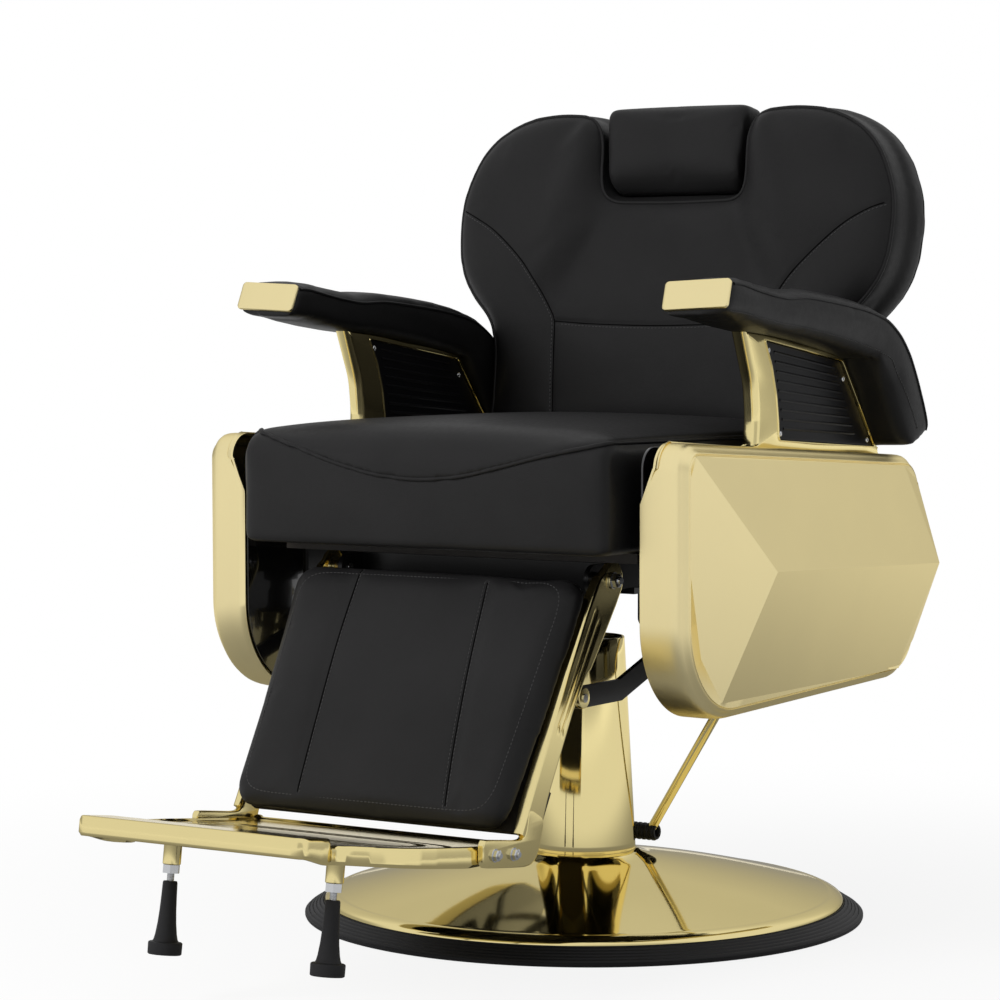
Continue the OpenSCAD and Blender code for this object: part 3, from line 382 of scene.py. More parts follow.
def revolve(name, profile, steps=160, closed=True, centre=(0, 0)):
    """Turns a profile of (radius, height) about Z; a closed profile makes a ring."""
    n = len(profile)
    verts, faces = [], []
    for k in range(steps):
        a = 2 * math.pi * k / steps
        verts += [(centre[0] + r * math.cos(a), centre[1] + r * math.sin(a), z) for r, z in profile]
    for k in range(steps):
        j = (k + 1) % steps
        for i in range(n if closed else n - 1):
            m = (i + 1) % n
            faces.append((k * n + i, j * n + i, j * n + m, k * n + m))
    return tidy(to_object(name, verts, faces))


def arc(c, r, a0, a1, n):
    """Points of an arc from angle a0 to a1 in degrees."""
    t = np.radians(np.linspace(a0, a1, n + 1))
    return [(c[0] + r * math.cos(a), c[1] + r * math.sin(a)) for a in t]


def outlined(name, loops, x0, x1, bevel=0.8, steps=3):
    """A plate across X from side view loops (y, z); inner loops are holes, and the edges are rounded."""
    curve = bpy.data.curves.new(name, "CURVE")
    curve.dimensions = "2D"
    curve.fill_mode = "BOTH"
    for loop in loops:
        spline = curve.splines.new("POLY")
        spline.points.add(len(loop) - 1)
        for p, q in zip(spline.points, loop):
            p.co = (q[0] * MM, q[1] * MM, 0, 1)
        spline.use_cyclic_u = True
    curve.extrude = ((x1 - x0) / 2 - bevel) * MM
    curve.bevel_depth = bevel * MM
    curve.bevel_resolution = steps
    curve.offset = -bevel * MM
    holder = linked(name + "_line", curve)
    bpy.context.view_layer.update()
    graph = bpy.context.evaluated_depsgraph_get()
    mesh = bpy.data.meshes.new_from_object(holder.evaluated_get(graph))
    bpy.data.objects.remove(holder)
    # curve plane (u, v) with thickness w goes to x = w, y = u, z = v
    mesh.transform(Matrix(((0, 0, 1, (x0 + x1) / 2 * MM), (1, 0, 0, 0), (0, 1, 0, 0), (0, 0, 0, 1))))
    return shade(tidy(linked(name, mesh), 2e-5))


def join(name, *things):
    """One mesh from several finished ones."""
    bm = bmesh.new()
    for thing in things:
        mesh = thing.data.copy()
        mesh.transform(thing.matrix_world)
        bm.from_mesh(mesh)
        bpy.data.meshes.remove(mesh)
    mesh = bpy.data.meshes.new(name)
    bm.to_mesh(mesh)
    bm.free()
    for thing in things:
        bpy.data.objects.remove(thing)
    return linked(name, mesh)


def place_matrix(angle, place, axis="X"):
    """Turn by angle in degrees, then move to a place in millimetres."""
    return Matrix.Translation(Vector(place) * MM) @ Matrix.Rotation(math.radians(angle), 4, axis)


# frames of the backrest, the footrest arms at their pivot and the footplate at its front edge
FOOT_PIVOT = (-267, 446)
BACK = place_matrix(-8, (0, 180, 500))
FOOT = place_matrix(-31, (0, *FOOT_PIVOT))
PLATE = place_matrix(-8, (0, -806, 217))
# support feet in the footplate's frame
FOOT_AT = (109, 122)


# ------------------------------------------------------------------ geometry nodes


def gn_tree(name, inputs):
    """An empty tree with its input and output node; Material is its last input."""
    tree = bpy.data.node_groups.new(name, "GeometryNodeTree")
    tree.interface.new_socket("Geometry", in_out="INPUT", socket_type="NodeSocketGeometry")
    for label, kind, value in inputs + [("Material", "NodeSocketMaterial", None)]:
        socket = tree.interface.new_socket(label, in_out="INPUT", socket_type=kind)
        if value is not None:
            socket.default_value = value
    tree.interface.new_socket("Geometry", in_out="OUTPUT", socket_type="NodeSocketGeometry")
    return tree, tree.nodes.new("NodeGroupInput").outputs, tree.nodes.new("NodeGroupOutput")


def gn_close(tree, geometry, given, end):
    """Ends a tree in Realize Instances and Set Material."""
    real = put(tree, "GeometryNodeRealizeInstances", Geometry=geometry)
    paint = put(tree, "GeometryNodeSetMaterial", Geometry=real, Material=given["Material"])
    feed(tree, end.inputs["Geometry"], paint)
    return tree


def cord_tree():
    """Round cord along every line of the mesh: piping, wire and rods."""
    tree = bpy.data.node_groups.get("round_cord")
    if tree:
        return tree
    tree, given, end = gn_tree("round_cord", [
        ("Radius", "NodeSocketFloat", 0.0025), ("Sides", "NodeSocketInt", 10), ("Spacing", "NodeSocketFloat", 0.006)])
    line = put(tree, "GeometryNodeMeshToCurve", Mesh=given["Geometry"])
    even = put(tree, "GeometryNodeResampleCurve", mode="LENGTH", Curve=line, Length=given["Spacing"])
    ring = put(tree, "GeometryNodeCurvePrimitiveCircle", Radius=given["Radius"], Resolution=given["Sides"])
    sweep = put(tree, "GeometryNodeCurveToMesh", Curve=even, Profile_Curve=ring, Fill_Caps=True)
    return gn_close(tree, put(tree, "GeometryNodeSetShadeSmooth", Geometry=sweep), given, end)


def repeat_tree():
    """A small part set at even steps along every line of the mesh, turned along it."""
    tree = bpy.data.node_groups.get("row_of_parts")
    if tree:
        return tree
    tree, given, end = gn_tree("row_of_parts", [
        ("Pitch", "NodeSocketFloat", 0.005), ("Part", "NodeSocketObject", None)])
    line = put(tree, "GeometryNodeMeshToCurve", Mesh=given["Geometry"])
    even = put(tree, "GeometryNodeCurveToPoints", mode="LENGTH", Curve=line, Length=given["Pitch"])
    part = put(tree, "GeometryNodeObjectInfo", Object=given["Part"])
    along = put(tree, "FunctionNodeAlignRotationToVector", axis="X", Vector=even.outputs["Tangent"])
    spread = put(tree, "GeometryNodeInstanceOnPoints", Points=even.outputs["Points"],
                 Instance=part.outputs["Geometry"], Rotation=along.outputs["Rotation"])
    return gn_close(tree, spread, given, end)


def scatter_tree():
    """A small part on every point of the mesh, turned to the point's own direction."""
    tree = bpy.data.node_groups.get("parts_on_points")
    if tree:
        return tree
    tree, given, end = gn_tree("parts_on_points", [
        ("Part", "NodeSocketObject", None), ("Size", "NodeSocketFloat", 1.0)])
    part = put(tree, "GeometryNodeObjectInfo", Object=given["Part"])
    way = put(tree, "GeometryNodeInputNamedAttribute", data_type="FLOAT_VECTOR", Name="axis")
    along = put(tree, "FunctionNodeAlignRotationToVector", axis="Z", Vector=way.outputs["Attribute"])
    spread = put(tree, "GeometryNodeInstanceOnPoints", Points=given["Geometry"], Instance=part.outputs["Geometry"],
                 Rotation=along.outputs["Rotation"], Scale=given["Size"])
    return gn_close(tree, spread, given, end)


def run_tree(thing, tree, **values):
    """Sets the inputs by socket identifier, then turns the result into a plain mesh."""
    modifier = thing.modifiers.new("build", "NODES")
    modifier.node_group = tree
    for socket in tree.interface.items_tree:
        if socket.in_out == "INPUT" and socket.name in values:
            modifier[socket.identifier] = values[socket.name]
    return bake(thing)


def polylines(name, lines, closed=False):
    """A mesh of lines from points in metres; closed joins the ends of each line."""
    verts, edges = [], []
    for points in lines:
        a, n = len(verts), len(points)
        verts += [tuple(p) for p in points]
        edges += [(a + i, a + (i + 1) % n) for i in range(n if closed else n - 1)]
    mesh = bpy.data.meshes.new(name)
    mesh.from_pydata(verts, edges, [])
    return linked(name, mesh)


def hidden(thing):
    """A template that only the node trees use."""
    thing.hide_render = thing.hide_viewport = True
    return thing


def stitch_part():
    """One raised stitch along X."""
    made = bpy.data.objects.get("stitch_part")
    if made:
        return made
    rings = [[(x * sizes().stitch / 2 / MM, 0.55 * r * math.cos(a), 0.55 * r * math.sin(a))
              for a in np.arange(6) * math.pi / 3]
             for x, r in ((-1.0, 0.35), (-0.7, 0.85), (0.0, 1.0), (0.7, 0.85), (1.0, 0.35))]
    return hidden(shade(loft("stitch_part", rings), 0))


def screw_part():
    """Pan head with a cross recess, 6.8 mm wide, facing +Z."""
    made = bpy.data.objects.get("screw_part")
    if made:
        return made
    rows = [(3.4, 0.0), (3.4, 0.45), (3.15, 0.95), (2.6, 1.3), (1.9, 1.5), (1.3, 1.58), (0.8, 1.6)]
    n, steps, verts = len(rows), 32, []
    for r, z in rows:
        for k in range(steps):
            a = 2 * math.pi * k / steps
            x, y = r * math.cos(a), r * math.sin(a)
            slot = (abs(x) < 0.42 and abs(y) < 2.2) or (abs(y) < 0.42 and abs(x) < 2.2)
            verts.append((x, y, z - (0.8 if slot else 0)))
    faces = tube_faces(n, steps)
    for k in range(steps):
        m = (k + 1) % steps
        faces += [((n - 1) * steps + k, (n - 1) * steps + m, len(verts)), (m, k, len(verts) + 1)]
    verts += [(0, 0, 0.7), (0, 0, 0)]
    return hidden(shade(tidy(to_object("screw_part", verts, faces)), 40))


def hex_part():
    """Hexagon head on a washer with a threaded end, facing +Z."""
    made = bpy.data.objects.get("hex_part")
    if made:
        return made
    rings = []
    for r, z, hexed in ((8.0, 0, 0), (8.0, 1.2, 0), (7.6, 1.6, 0), (6.2, 1.6, 1), (6.2, 5.8, 1), (5.6, 6.4, 0),
                        (4.0, 6.5, 0), (3.7, 6.5, 0), (3.7, 8.6, 0), (3.2, 9.1, 0)):
        ring = []
        for a in np.arange(48) * math.pi / 24:
            q = min(7.0, r / math.cos((a + math.pi / 6) % (math.pi / 3) - math.pi / 6)) if hexed else r
            ring.append((q * math.cos(a), q * math.sin(a), z))
        rings.append(ring)
    return hidden(shade(loft("hex_part", rings), 28))


def scattered(name, part, spots, body, slot, size=1.0, replaces=()):
    """Small parts on (place, direction) pairs in metres, as one piece."""
    points = bpy.data.meshes.new("spots")
    points.from_pydata([tuple(place) for place, _ in spots], [], [])
    axis = points.attributes.new("axis", "FLOAT_VECTOR", "POINT")
    axis.data.foreach_set("vector", np.array([way for _, way in spots], float).ravel())
    made = run_tree(linked(name, points), scatter_tree(), Part=part, Size=size, Material=finishes()[slot])
    return flesh(shade(made, 30), body, slot, replaces)


def cords(name, lines, body, slot="black_upholstery", radius=None, closed=False, spacing=0.006, sides=10,
          finish=None):
    """Round cord along lines in metres: one piece of piping, rod or wire, or a near-black line of painted seam shade.
    """
    made = run_tree(polylines(name, lines, closed), cord_tree(), Radius=radius or sizes().piping, Sides=sides,
                    Spacing=spacing, Material=finishes()[finish or slot])
    return flesh(made, body, slot, finish=finish)


def bare_cord(name, lines, radius, sides, spacing):
    """Round cord without a finish, to be joined to other shapes."""
    made = run_tree(polylines(name, lines), cord_tree(), Radius=radius, Sides=sides, Spacing=spacing)
    made.data.materials.clear()
    return made


def stitches(name, lines, body):
    """A row of stitches along each line in metres."""
    made = run_tree(polylines(name, lines), repeat_tree(), Pitch=sizes().pitch, Part=stitch_part(),
                    Material=finishes()["thread"])
    return flesh(made, body, "black_upholstery", finish="thread")


# ------------------------------------------------------------------ padding helpers


def coords(thing):
    """The mesh's points as an array, in metres."""
    co = np.zeros(len(thing.data.vertices) * 3)
    thing.data.vertices.foreach_get("co", co)
    return co.reshape(-1, 3)


def set_coords(thing, co):
    thing.data.vertices.foreach_set("co", np.ascontiguousarray(co, float).ravel())
    thing.data.update()
    return thing


def smoothstep(v, a, b):
    """Smooth rise from 0 at a to 1 at b."""
    t = np.clip((v - a) / (b - a), 0, 1)
    return t * t * (3 - 2 * t)


def polygon_distance(p, poly):
    """Signed distance of 2-D points to a polygon, positive inside."""
    p, poly = np.asarray(p, float), np.asarray(poly, float)
    best = np.full(len(p), 1e9)
    inside = np.zeros(len(p), bool)
    for a, b in zip(poly, np.roll(poly, -1, 0)):
        best = np.minimum(best, segment_distance(p, a, b))
        cross = (a[1] > p[:, 1]) != (b[1] > p[:, 1])
        with np.errstate(divide="ignore", invalid="ignore"):
            x = (b[0] - a[0]) * (p[:, 1] - a[1]) / (b[1] - a[1]) + a[0]
        inside ^= cross & (p[:, 0] < x)
    return np.where(inside, best, -best)


def segment_distance(p, a, b):
    """Distance of 2-D points to one straight piece."""
    d = b - a
    t = np.clip(((p - a) @ d) / max(d @ d, 1e-12), 0, 1)
    return np.linalg.norm(p - a - t[:, None] * d, axis=1)


def line_distance(p, line):
    """Distance of 2-D points to an open line."""
    line = np.asarray(line, float)
    return np.min([segment_distance(p, a, b) for a, b in zip(line[:-1], line[1:])], 0)


def spline(points, steps=8, closed=False):
    """Smooth curve through points by Catmull-Rom."""
    p = np.asarray(points, float)
    n = len(p)
    out = []
    for i in range(n if closed else n - 1):
        q = [p[(i + k) % n] if closed else p[min(max(i + k, 0), n - 1)] for k in (-1, 0, 1, 2)]
        for t in np.linspace(0, 1, steps, endpoint=False):
            out.append(0.5 * (2 * q[1] + (q[2] - q[0]) * t + (2 * q[0] - 5 * q[1] + 4 * q[2] - q[3]) * t ** 2
                              + (3 * q[1] - q[0] - 3 * q[2] + q[3]) * t ** 3))
    if not closed:
        out.append(p[-1])
    return np.array(out)


def remesh(thing, voxel):
    """Rebuilds a mesh with even faces; voxel is in millimetres."""
    return modify(thing, "REMESH", mode="VOXEL", voxel_size=voxel * MM)


def relax(thing, rounds, factor=0.5, keep=None):
    """Plain smoothing; keep is a weight from 0 to 1 that holds points in place."""
    mesh = thing.data
    edges = np.zeros(len(mesh.edges) * 2, int)
    mesh.edges.foreach_get("vertices", edges)
    a, b = edges.reshape(-1, 2).T
    co = coords(thing)
    count = np.bincount(a, minlength=len(co)) + np.bincount(b, minlength=len(co))
    hold = 1 if keep is None else (1 - keep)[:, None]
    for _ in range(rounds):
        total = np.zeros_like(co)
        np.add.at(total, a, co[b])
        np.add.at(total, b, co[a])
        co = co + factor * (total / np.maximum(count, 1)[:, None] - co) * hold
    return set_coords(thing, co)


def swell(thing, cap, pins=None, pressure=4.0, frames=20):
    """Lets the cover swell under pressure by cloth simulation, by no more than cap."""
    start = coords(thing)
    modifier = thing.modifiers.new("padding", "CLOTH")
    cloth = modifier.settings
    cloth.quality = 5
    cloth.mass = 0.3
    cloth.tension_stiffness = cloth.compression_stiffness = 20
    cloth.bending_stiffness = 2.0
    cloth.use_pressure = True
    cloth.uniform_pressure_force = pressure
    cloth.effector_weights.gravity = 0
    if pins is not None:
        group = thing.vertex_groups.new(name="sewn")
        for i in np.nonzero(pins > 0.02)[0]:
            group.add([int(i)], float(min(pins[i], 1.0)), "REPLACE")
        cloth.vertex_group_mass = "sewn"
    modifier.point_cache.frame_start = 1
    modifier.point_cache.frame_end = frames
    scene = bpy.context.scene
    for f in range(1, frames + 1):
        scene.frame_set(f)
    bake(thing)
    scene.frame_set(1)
    thing.vertex_groups.clear()
    move = coords(thing) - start
    size = np.linalg.norm(move, axis=1)
    limit = cap * MM
    scale = np.where(size > 1e-9, limit * np.tanh(size / limit) / np.maximum(size, 1e-9), 0)
    return set_coords(thing, start + move * scale[:, None])


def subdivide(thing):
    """One level of smooth subdivision."""
    return modify(thing, "SUBSURF", levels=1, render_levels=1)


def from_cad(name, node, voxel):
    """An even copy of a padded node, merged and remeshed."""
    return remesh(tidy(linked(name, NODES[node].data.copy()), 2e-6, normals=False), voxel)


def local(thing, matrix):
    """Coordinates in millimetres in a placed frame."""
    inverse = np.array(matrix.inverted())
    co = coords(thing)
    return (co @ inverse[:3, :3].T + inverse[:3, 3]) / MM


def set_local(thing, matrix, co):
    """Sets coordinates given in millimetres in a placed frame."""
    m = np.array(matrix)
    return set_coords(thing, (co * MM) @ m[:3, :3].T + m[:3, 3])


def surface(thing):
    """Search tree of a piece's faces."""
    graph = bpy.context.evaluated_depsgraph_get()
    graph.update()
    return BVHTree.FromObject(thing, graph)


def cast(tree, matrix, start, way, lift=0.0):
    """First hit from a start in a placed frame along way, lifted back by lift; all in millimetres."""
    way = (matrix.to_3x3() @ Vector(way)).normalized()
    hit = tree.ray_cast(matrix @ mm(*start), way, 1.0)[0]
    return None if hit is None else hit - way * lift * MM


def drape(tree, matrix, points, far=-200, lift=0.2):
    """Lays (x, z) points of a placed frame on a surface, cast back along Y from a depth in front."""
    hits = [cast(tree, matrix, (x, far, z), (0, 1, 0), lift) for x, z in points]
    return [hit for hit in hits if hit is not None]


def nearest_out(tree, point, lift):
    """A point set on the closest surface, lifted along its normal; metres."""
    hit, normal, _, _ = tree.find_nearest(point)
    return hit + normal * lift


def offset_line(line, by):
    """A line moved sideways in its own plane."""
    p = np.asarray(line, float)
    d = np.gradient(p, axis=0)
    d /= np.maximum(np.linalg.norm(d, axis=1), 1e-9)[:, None]
    return p + by * np.stack([-d[:, 1], d[:, 0]], -1)


def inset(loop, by):
    """A closed counter-clockwise outline with its points moved inward."""
    d = np.roll(loop, -1, 0) - np.roll(loop, 1, 0)
    d /= np.maximum(np.linalg.norm(d, axis=1), 1e-9)[:, None]
    return loop + by * np.stack([-d[:, 1], d[:, 0]], -1)


def rounding(r, d):
    """How much an edge rounded by r takes off at a depth d from it."""
    return r - math.sqrt(max(0.0, r * r - (r - d) ** 2)) if d < r else 0.0


def soft_solid(half, lo, hi, back, front, radii, back_radius, corner):
    """Rings of a padded box: (x, v, depth), from the back to a front whose edges are rounded by radii."""
    side, low, high = radii
    sign = 1 if front > back else -1
    depth = abs(front - back)
    deltas = [d for d in (0, 1, 3, 6, 10, 15, 21, 28, 36) if d <= max(radii)] + [max(radii)]
    deltas += [d for d in (depth - back_radius * t for t in (1.0, 0.6, 0.3, 0.1, 0.0)) if d > max(radii)]
    rings = []
    for d in sorted(set(deltas)):
        g = rounding(back_radius, depth - d)
        h = half - max(rounding(side, d), g) - corner
        a, b = lo + max(rounding(low, d), g) + corner, hi - max(rounding(high, d), g) - corner
        rings.append([(cx + corner * math.cos(t), cv + corner * math.sin(t), front - sign * d)
                      for cx, cv, t0 in ((h, b, 0), (-h, b, 90), (-h, a, 180), (h, a, 270))
                      for t in np.radians(np.linspace(t0, t0 + 90, 7))])
    return rings[::-1]


def tapered(rings, taper, middle):
    """Rings of a padded box stood upright, wider by taper for each millimetre above the middle."""
    return [[(x * (1 + taper * (v - middle)), d, v) for x, v, d in ring] for ring in rings]


def groove(d):
    """Depth in millimetres of the dip at distance d from a sewn seam."""
    return sizes().seam / MM * np.exp(-(d / (sizes().seam_width / MM)) ** 2)


# ------------------------------------------------------------------ base


# outer and inner radius of the rubber ring; the disc fills the inner one
RING = (350.0, 325.0)


def base_profile():
    """Ribbed rubber ring: radius and height."""
    (ro, ri), n = RING, sizes().ring_ribs
    top = []
    for k in range(n):
        t0 = k / n
        for t, rise in ((t0, -1.0), (t0 + 0.14 / n, 0.1), (t0 + 0.3 / n, 0.7), (t0 + 0.62 / n, 0.7),
                        (t0 + 0.8 / n, 0.1), (t0 + 0.94 / n, -1.0)):
            top.append((ro - 1.5 - (ro - ri - 3.0) * t, 6.8 + 13.4 * t + rise))
    return [(ri - 9, 0.2), (ro - 3, 0.2), (ro - 0.8, 1.2), (ro, 3), (ro, 5.6)] + top + [
        (ri + 1.4, 21.0), (ri + 0.5, 20.6), (ri + 0.4, 16), (ri - 9, 16)]


class CHAIR_OT_base_ring(bpy.types.Operator):
    """Rubber ring of the base with its ribs"""
    bl_idname = "chair.base_ring"
    bl_label = "Rubber base ring"

    def execute(self, context):
        made = shade(revolve("rubber_base_ring", base_profile(), 192), 50)
        flesh(made, "base", "black_rubber", ["base_ring"])
        return {"FINISHED"}


class CHAIR_OT_base_disc(bpy.types.Operator):
    """Polished gold base disc and the conical pump cover"""
    bl_idname = "chair.base_disc"
    bl_label = "Gold base disc"

    def execute(self, context):
        ri = RING[1]
        rim = [(ri, 16), (ri, 21.5), (ri - 0.5, 23.4), (ri - 1.8, 24.9), (ri - 4.5, 26.7), (ri - 9, 28.8),
               (ri - 13.5, 30.2), (ri - 16, 30.6), (ri - 17.5, 30.6), (ri - 19.2, 31.1)]
        cone = []
        for t in np.linspace(0.02, 1, 28):
            r = ri - 19.2 - (ri - 19.2 - 91.5) * t
            cone.append((r, 31.1 + (73.2 - 31.1) * t + 3.0 * math.sin(math.pi * t)))
        hub = [(86, 74.4), (80, 76.3), (75, 78.2), (71.5, 79.8), (69.5, 81), (50, 81), (50, 78), (90, 70.5),
               (ri - 16, 27.6), (ri - 4, 22), (ri - 4, 16)]
        made = shade(revolve("gold_base_disc", rim + cone + hub, 224), 40)
        flesh(made, "base", "gold_polished", ["base_disc"])
        r1, r2, z0, z1 = 65.5, 51.0, 81.05, 350.0
        outer = [(r1 - 0.4, z0), (r1, z0 + 1.2)]
        outer += [(r1 + (r2 - r1) * t, z0 + 1.2 + (z1 - z0 - 3.2) * t) for t in np.linspace(0.04, 1, 14)]
        lip = [(r2 - 0.25, z1 - 0.9), (r2 - 0.9, z1 - 0.2), (r2 - 1.6, z1 - 0.2), (r2 - 2.4, z1 - 0.9)]
        cover = shade(revolve("gold_pump_cover", outer + lip + [(r2 - 2.5, z1 - 3), (r1 - 2.5, z0)], 160), 40)
        flesh(cover, "base", "gold_polished", ["pump_cover"])
        return {"FINISHED"}


# ------------------------------------------------------------------ side panels and arms


def panel_outline(w):
    """Side view outline of a side panel, pulled in by w."""
    return (arc((-308, 577), 30 - w, 180, 90, 14) + arc((228, 526), 50 - w, 86.5, 25, 14)
            + arc((268, 437), 52 - w, 25, -35, 14) + arc((195, 372), 75 - w, -35, -90, 14)
            + arc((-222, 405), 115 - w, -90, -180, 24))


def ray_outline(poly, centre, angles):
    """Points of a convex outline in the given directions from centre."""
    poly = np.asarray(poly, float) - centre
    out = []
    for t in angles:
        d = np.array((math.cos(t), math.sin(t)))
        best = None
        for a, b in zip(poly, np.roll(poly, -1, 0)):
            e = b - a
            det = d[0] * -e[1] + d[1] * e[0]
            if abs(det) < 1e-9:
                continue
            r = (a[0] * -e[1] + a[1] * e[0]) / det
            s = (d[0] * a[1] - d[1] * a[0]) / det
            if r > 0 and -1e-6 <= s <= 1 + 1e-6:
                best = r
        out.append(centre + d * best)
    return np.array(out)


# corners of the facets in side view, and the two ends of the ridge between them
FACET_CORNERS = [(-313, 592), (-328, 536), (-287, 364), (-252, 311), (206, 309), (252, 342), (300, 425),
                 (303, 462), (262, 541), (224, 563)]
APEX = (367.6, -182, 457)
RIDGE_END = (367.6, 256, 440)
# the long top and bottom facets: least and greatest y of their corners, height and side
LONG_FACETS = ((-313, 224, 560, 1), (-252, 206, -330, -1))


def on_facet(point, span, slack=0.0):
    """Whether a point of the facet outline lies on a long facet's edge."""
    y0, y1, level, up = span
    return up * point[1] > level and y0 - slack <= point[0] <= y1 + slack


def build_side_panel(name, side):
    """Pressed shell with a rolled rim and flat facets that meet in a ridge."""
    centre = np.array((-30.0, 455.0))
    corners = np.array(FACET_CORNERS, float)
    around = np.concatenate([np.array(panel_outline(0)), corners]) - centre
    angles = np.unique(np.round(np.arctan2(around[:, 1], around[:, 0]), 5))
    # depth across and inset of the rim
    profile = [(275.0, 0.0), (276.0, -0.5), (285.0, -0.6), (300.0, -0.9), (312.0, -0.6), (318.0, 0.2), (321.5, 1.0),
               (324.2, 2.6), (326.0, 4.6), (327.6, 6.6), (330.6, 9.0), (332.0, 10.2), (332.4, 11.0),
               (331.6, 11.8), (331.8, 12.6), (333.2, 13.4)]
    verts = []
    for x, w in profile:
        ring = ray_outline(panel_outline(max(w, 0.0)), centre, angles)
        if w < 0:
            ring = ring + (ring - centre) / np.linalg.norm(ring - centre, axis=1)[:, None] * -w
        # the upper front corner steps outward to clear the seat
        for y, z in ring:
            step = smoothstep(z, 566.0, 582.0) * smoothstep(-y, 255.0, 285.0) * max(0.0, (290.0 - x) / 15.0)
            verts.append((x + 23.0 * step, y, z))
    facet = ray_outline(corners, centre, angles)
    # the front facet is flat, so its edge lies deeper beyond the line of its first and last corner
    for y, z in facet:
        beyond = (281 * (y + 313) + 61 * (z - 592)) / 287.5
        verts.append((333.6 + 0.342 * min(0.0, beyond), y, z))
    n, last = len(angles), len(profile) * len(angles)
    faces = tube_faces(len(profile) + 1, n)
    # the apex takes all facets that end at the front, and the ridge end the rear corner facets
    a, b = len(verts), len(verts) + 1
    verts += [APEX, RIDGE_END]
    for i in range(n):
        k = (i + 1) % n
        mid = (facet[i] + facet[k]) / 2
        if not any(on_facet(mid, span) for span in LONG_FACETS):
            faces.append((last + i, last + k, a if mid[0] < -251 else b))
    for span in LONG_FACETS:
        edge = sorted((i for i in range(n) if on_facet(facet[i], span, 0.1)), key=lambda i: facet[i][0])
        faces.append(tuple(last + i for i in edge) + (b, a))
    made = to_object(name, verts, faces)
    bm = bmesh.new()
    bm.from_mesh(made.data)
    bmesh.ops.recalc_face_normals(bm, faces=bm.faces)
    if sum(f.normal.x * f.calc_area() for f in bm.faces) < 0:
        bmesh.ops.reverse_faces(bm, faces=bm.faces)
    weight = bm.edges.layers.float.new("bevel_weight_edge")
    for e in bm.edges:
        on_face = len(e.link_faces) == 2 and min(v.index for v in e.verts) >= last
        if on_face and e.calc_face_angle(0) > math.radians(9.0):
            e[weight] = 1.0
    bm.to_mesh(made.data)
    bm.free()
    modify(made, "BEVEL", limit_method="WEIGHT", width=3.0 * MM, segments=4)
    modify(made, "SOLIDIFY", thickness=2.6 * MM, offset=-1, use_even_offset=False)
    modify(shade(made, 35), "WEIGHTED_NORMAL", keep_sharp=True, weight=100)
    return flip_x(made, side)


class CHAIR_OT_side_panels(bpy.types.Operator):
    """Faceted satin gold side panels and the gloss black plates behind them"""
    bl_idname = "chair.side_panels"
    bl_label = "Side panels"

    def execute(self, context):
        for hand, side in HANDS:
            made = build_side_panel(f"faceted_side_panel_{hand}", side)
            flesh(made, "seat", "gold_satin", [f"side_panel_{hand}"])
            plate = outlined(f"gloss_side_plate_{hand}", [panel_outline(4.2)], 273.9, 277.1, 0.7)
            flesh(flip_x(plate, side), "seat", "black_gloss_plate", [f"side_plate_{hand}"])
        return {"FINISHED"}


# armrest pad from front to rear: y, z, half thickness and the angle of its upward direction
ARM_STATIONS = [
    (-254.3, 769, 21, 68.5), (-240, 769.5, 22, 78), (-215, 767.5, 22.5, 87), (-165, 760.5, 22, 88),
    (-110, 754.5, 21.5, 85), (-60, 753.5, 24.5, 83), (0, 748, 26, 82), (60, 741, 27.5, 81),
    (110, 733.5, 28, 79), (150, 724, 28, 68), (179.5, 704, 34, 54), (201.6, 683.5, 35, 40),
    (219, 658, 36, 30), (238, 626.4, 36, 27), (247.7, 608.7, 35, 24), (257.5, 595.6, 28, 24)]
# middle of a pad across the chair, and the rise of its top for each millimetre outward
PAD_X, PAD_SLOPE = 301, 0.05
# seam along the outer side of an armrest pad
ARM_SEAM = [(-246, 750), (-223, 749), (-179, 745), (-132, 739), (-52, 729), (47, 717), (99, 709), (160, 699),
            (178, 684), (201, 660), (224, 632), (240, 610)]


def under_pad(i):
    """Point of the armrest frame under station i of the pad."""
    y, z, half, a = ARM_STATIONS[i]
    d = half + 0.3 + PAD_SLOPE * 29
    return y - d * math.cos(math.radians(a)), z - d * math.sin(math.radians(a))


def arm_loop():
    """Outer outline of the armrest frame in side view."""
    post = spline([(-126, 732.4), (-111, 697), (-101, 672), (-97, 650), (-95, 625), (-97, 602), (-97, 594.9)], 5)
    pad = spline([under_pad(i) for i in range(15, 3, -1)], 3)
    return np.concatenate([post, [(231, 576), (235, 578.6)], pad])


def arm_window(w):
    """Rounded window of the armrest frame, pulled in by w."""
    p = np.array([(-76, 721), (-58, 690), (-46, 655), (-41, 625), (-39, 602), (219, 586), (127, 694)], float)
    q = []
    for a, b, d in zip(np.roll(p, 1, 0), p, np.roll(p, -1, 0)):
        u, v = (a - b) / np.linalg.norm(a - b), (d - b) / np.linalg.norm(d - b)
        sharp = math.degrees(math.acos(np.clip(-(u @ v), -1, 1))) > 30
        r = 5.0 if sharp else 2.0
        for t in np.linspace(0, 1, 6 if sharp else 2):
            q.append((1 - t) ** 2 * (b + u * r) + 2 * t * (1 - t) * b + t * t * (b + v * r))
    return inset(np.array(q), w)


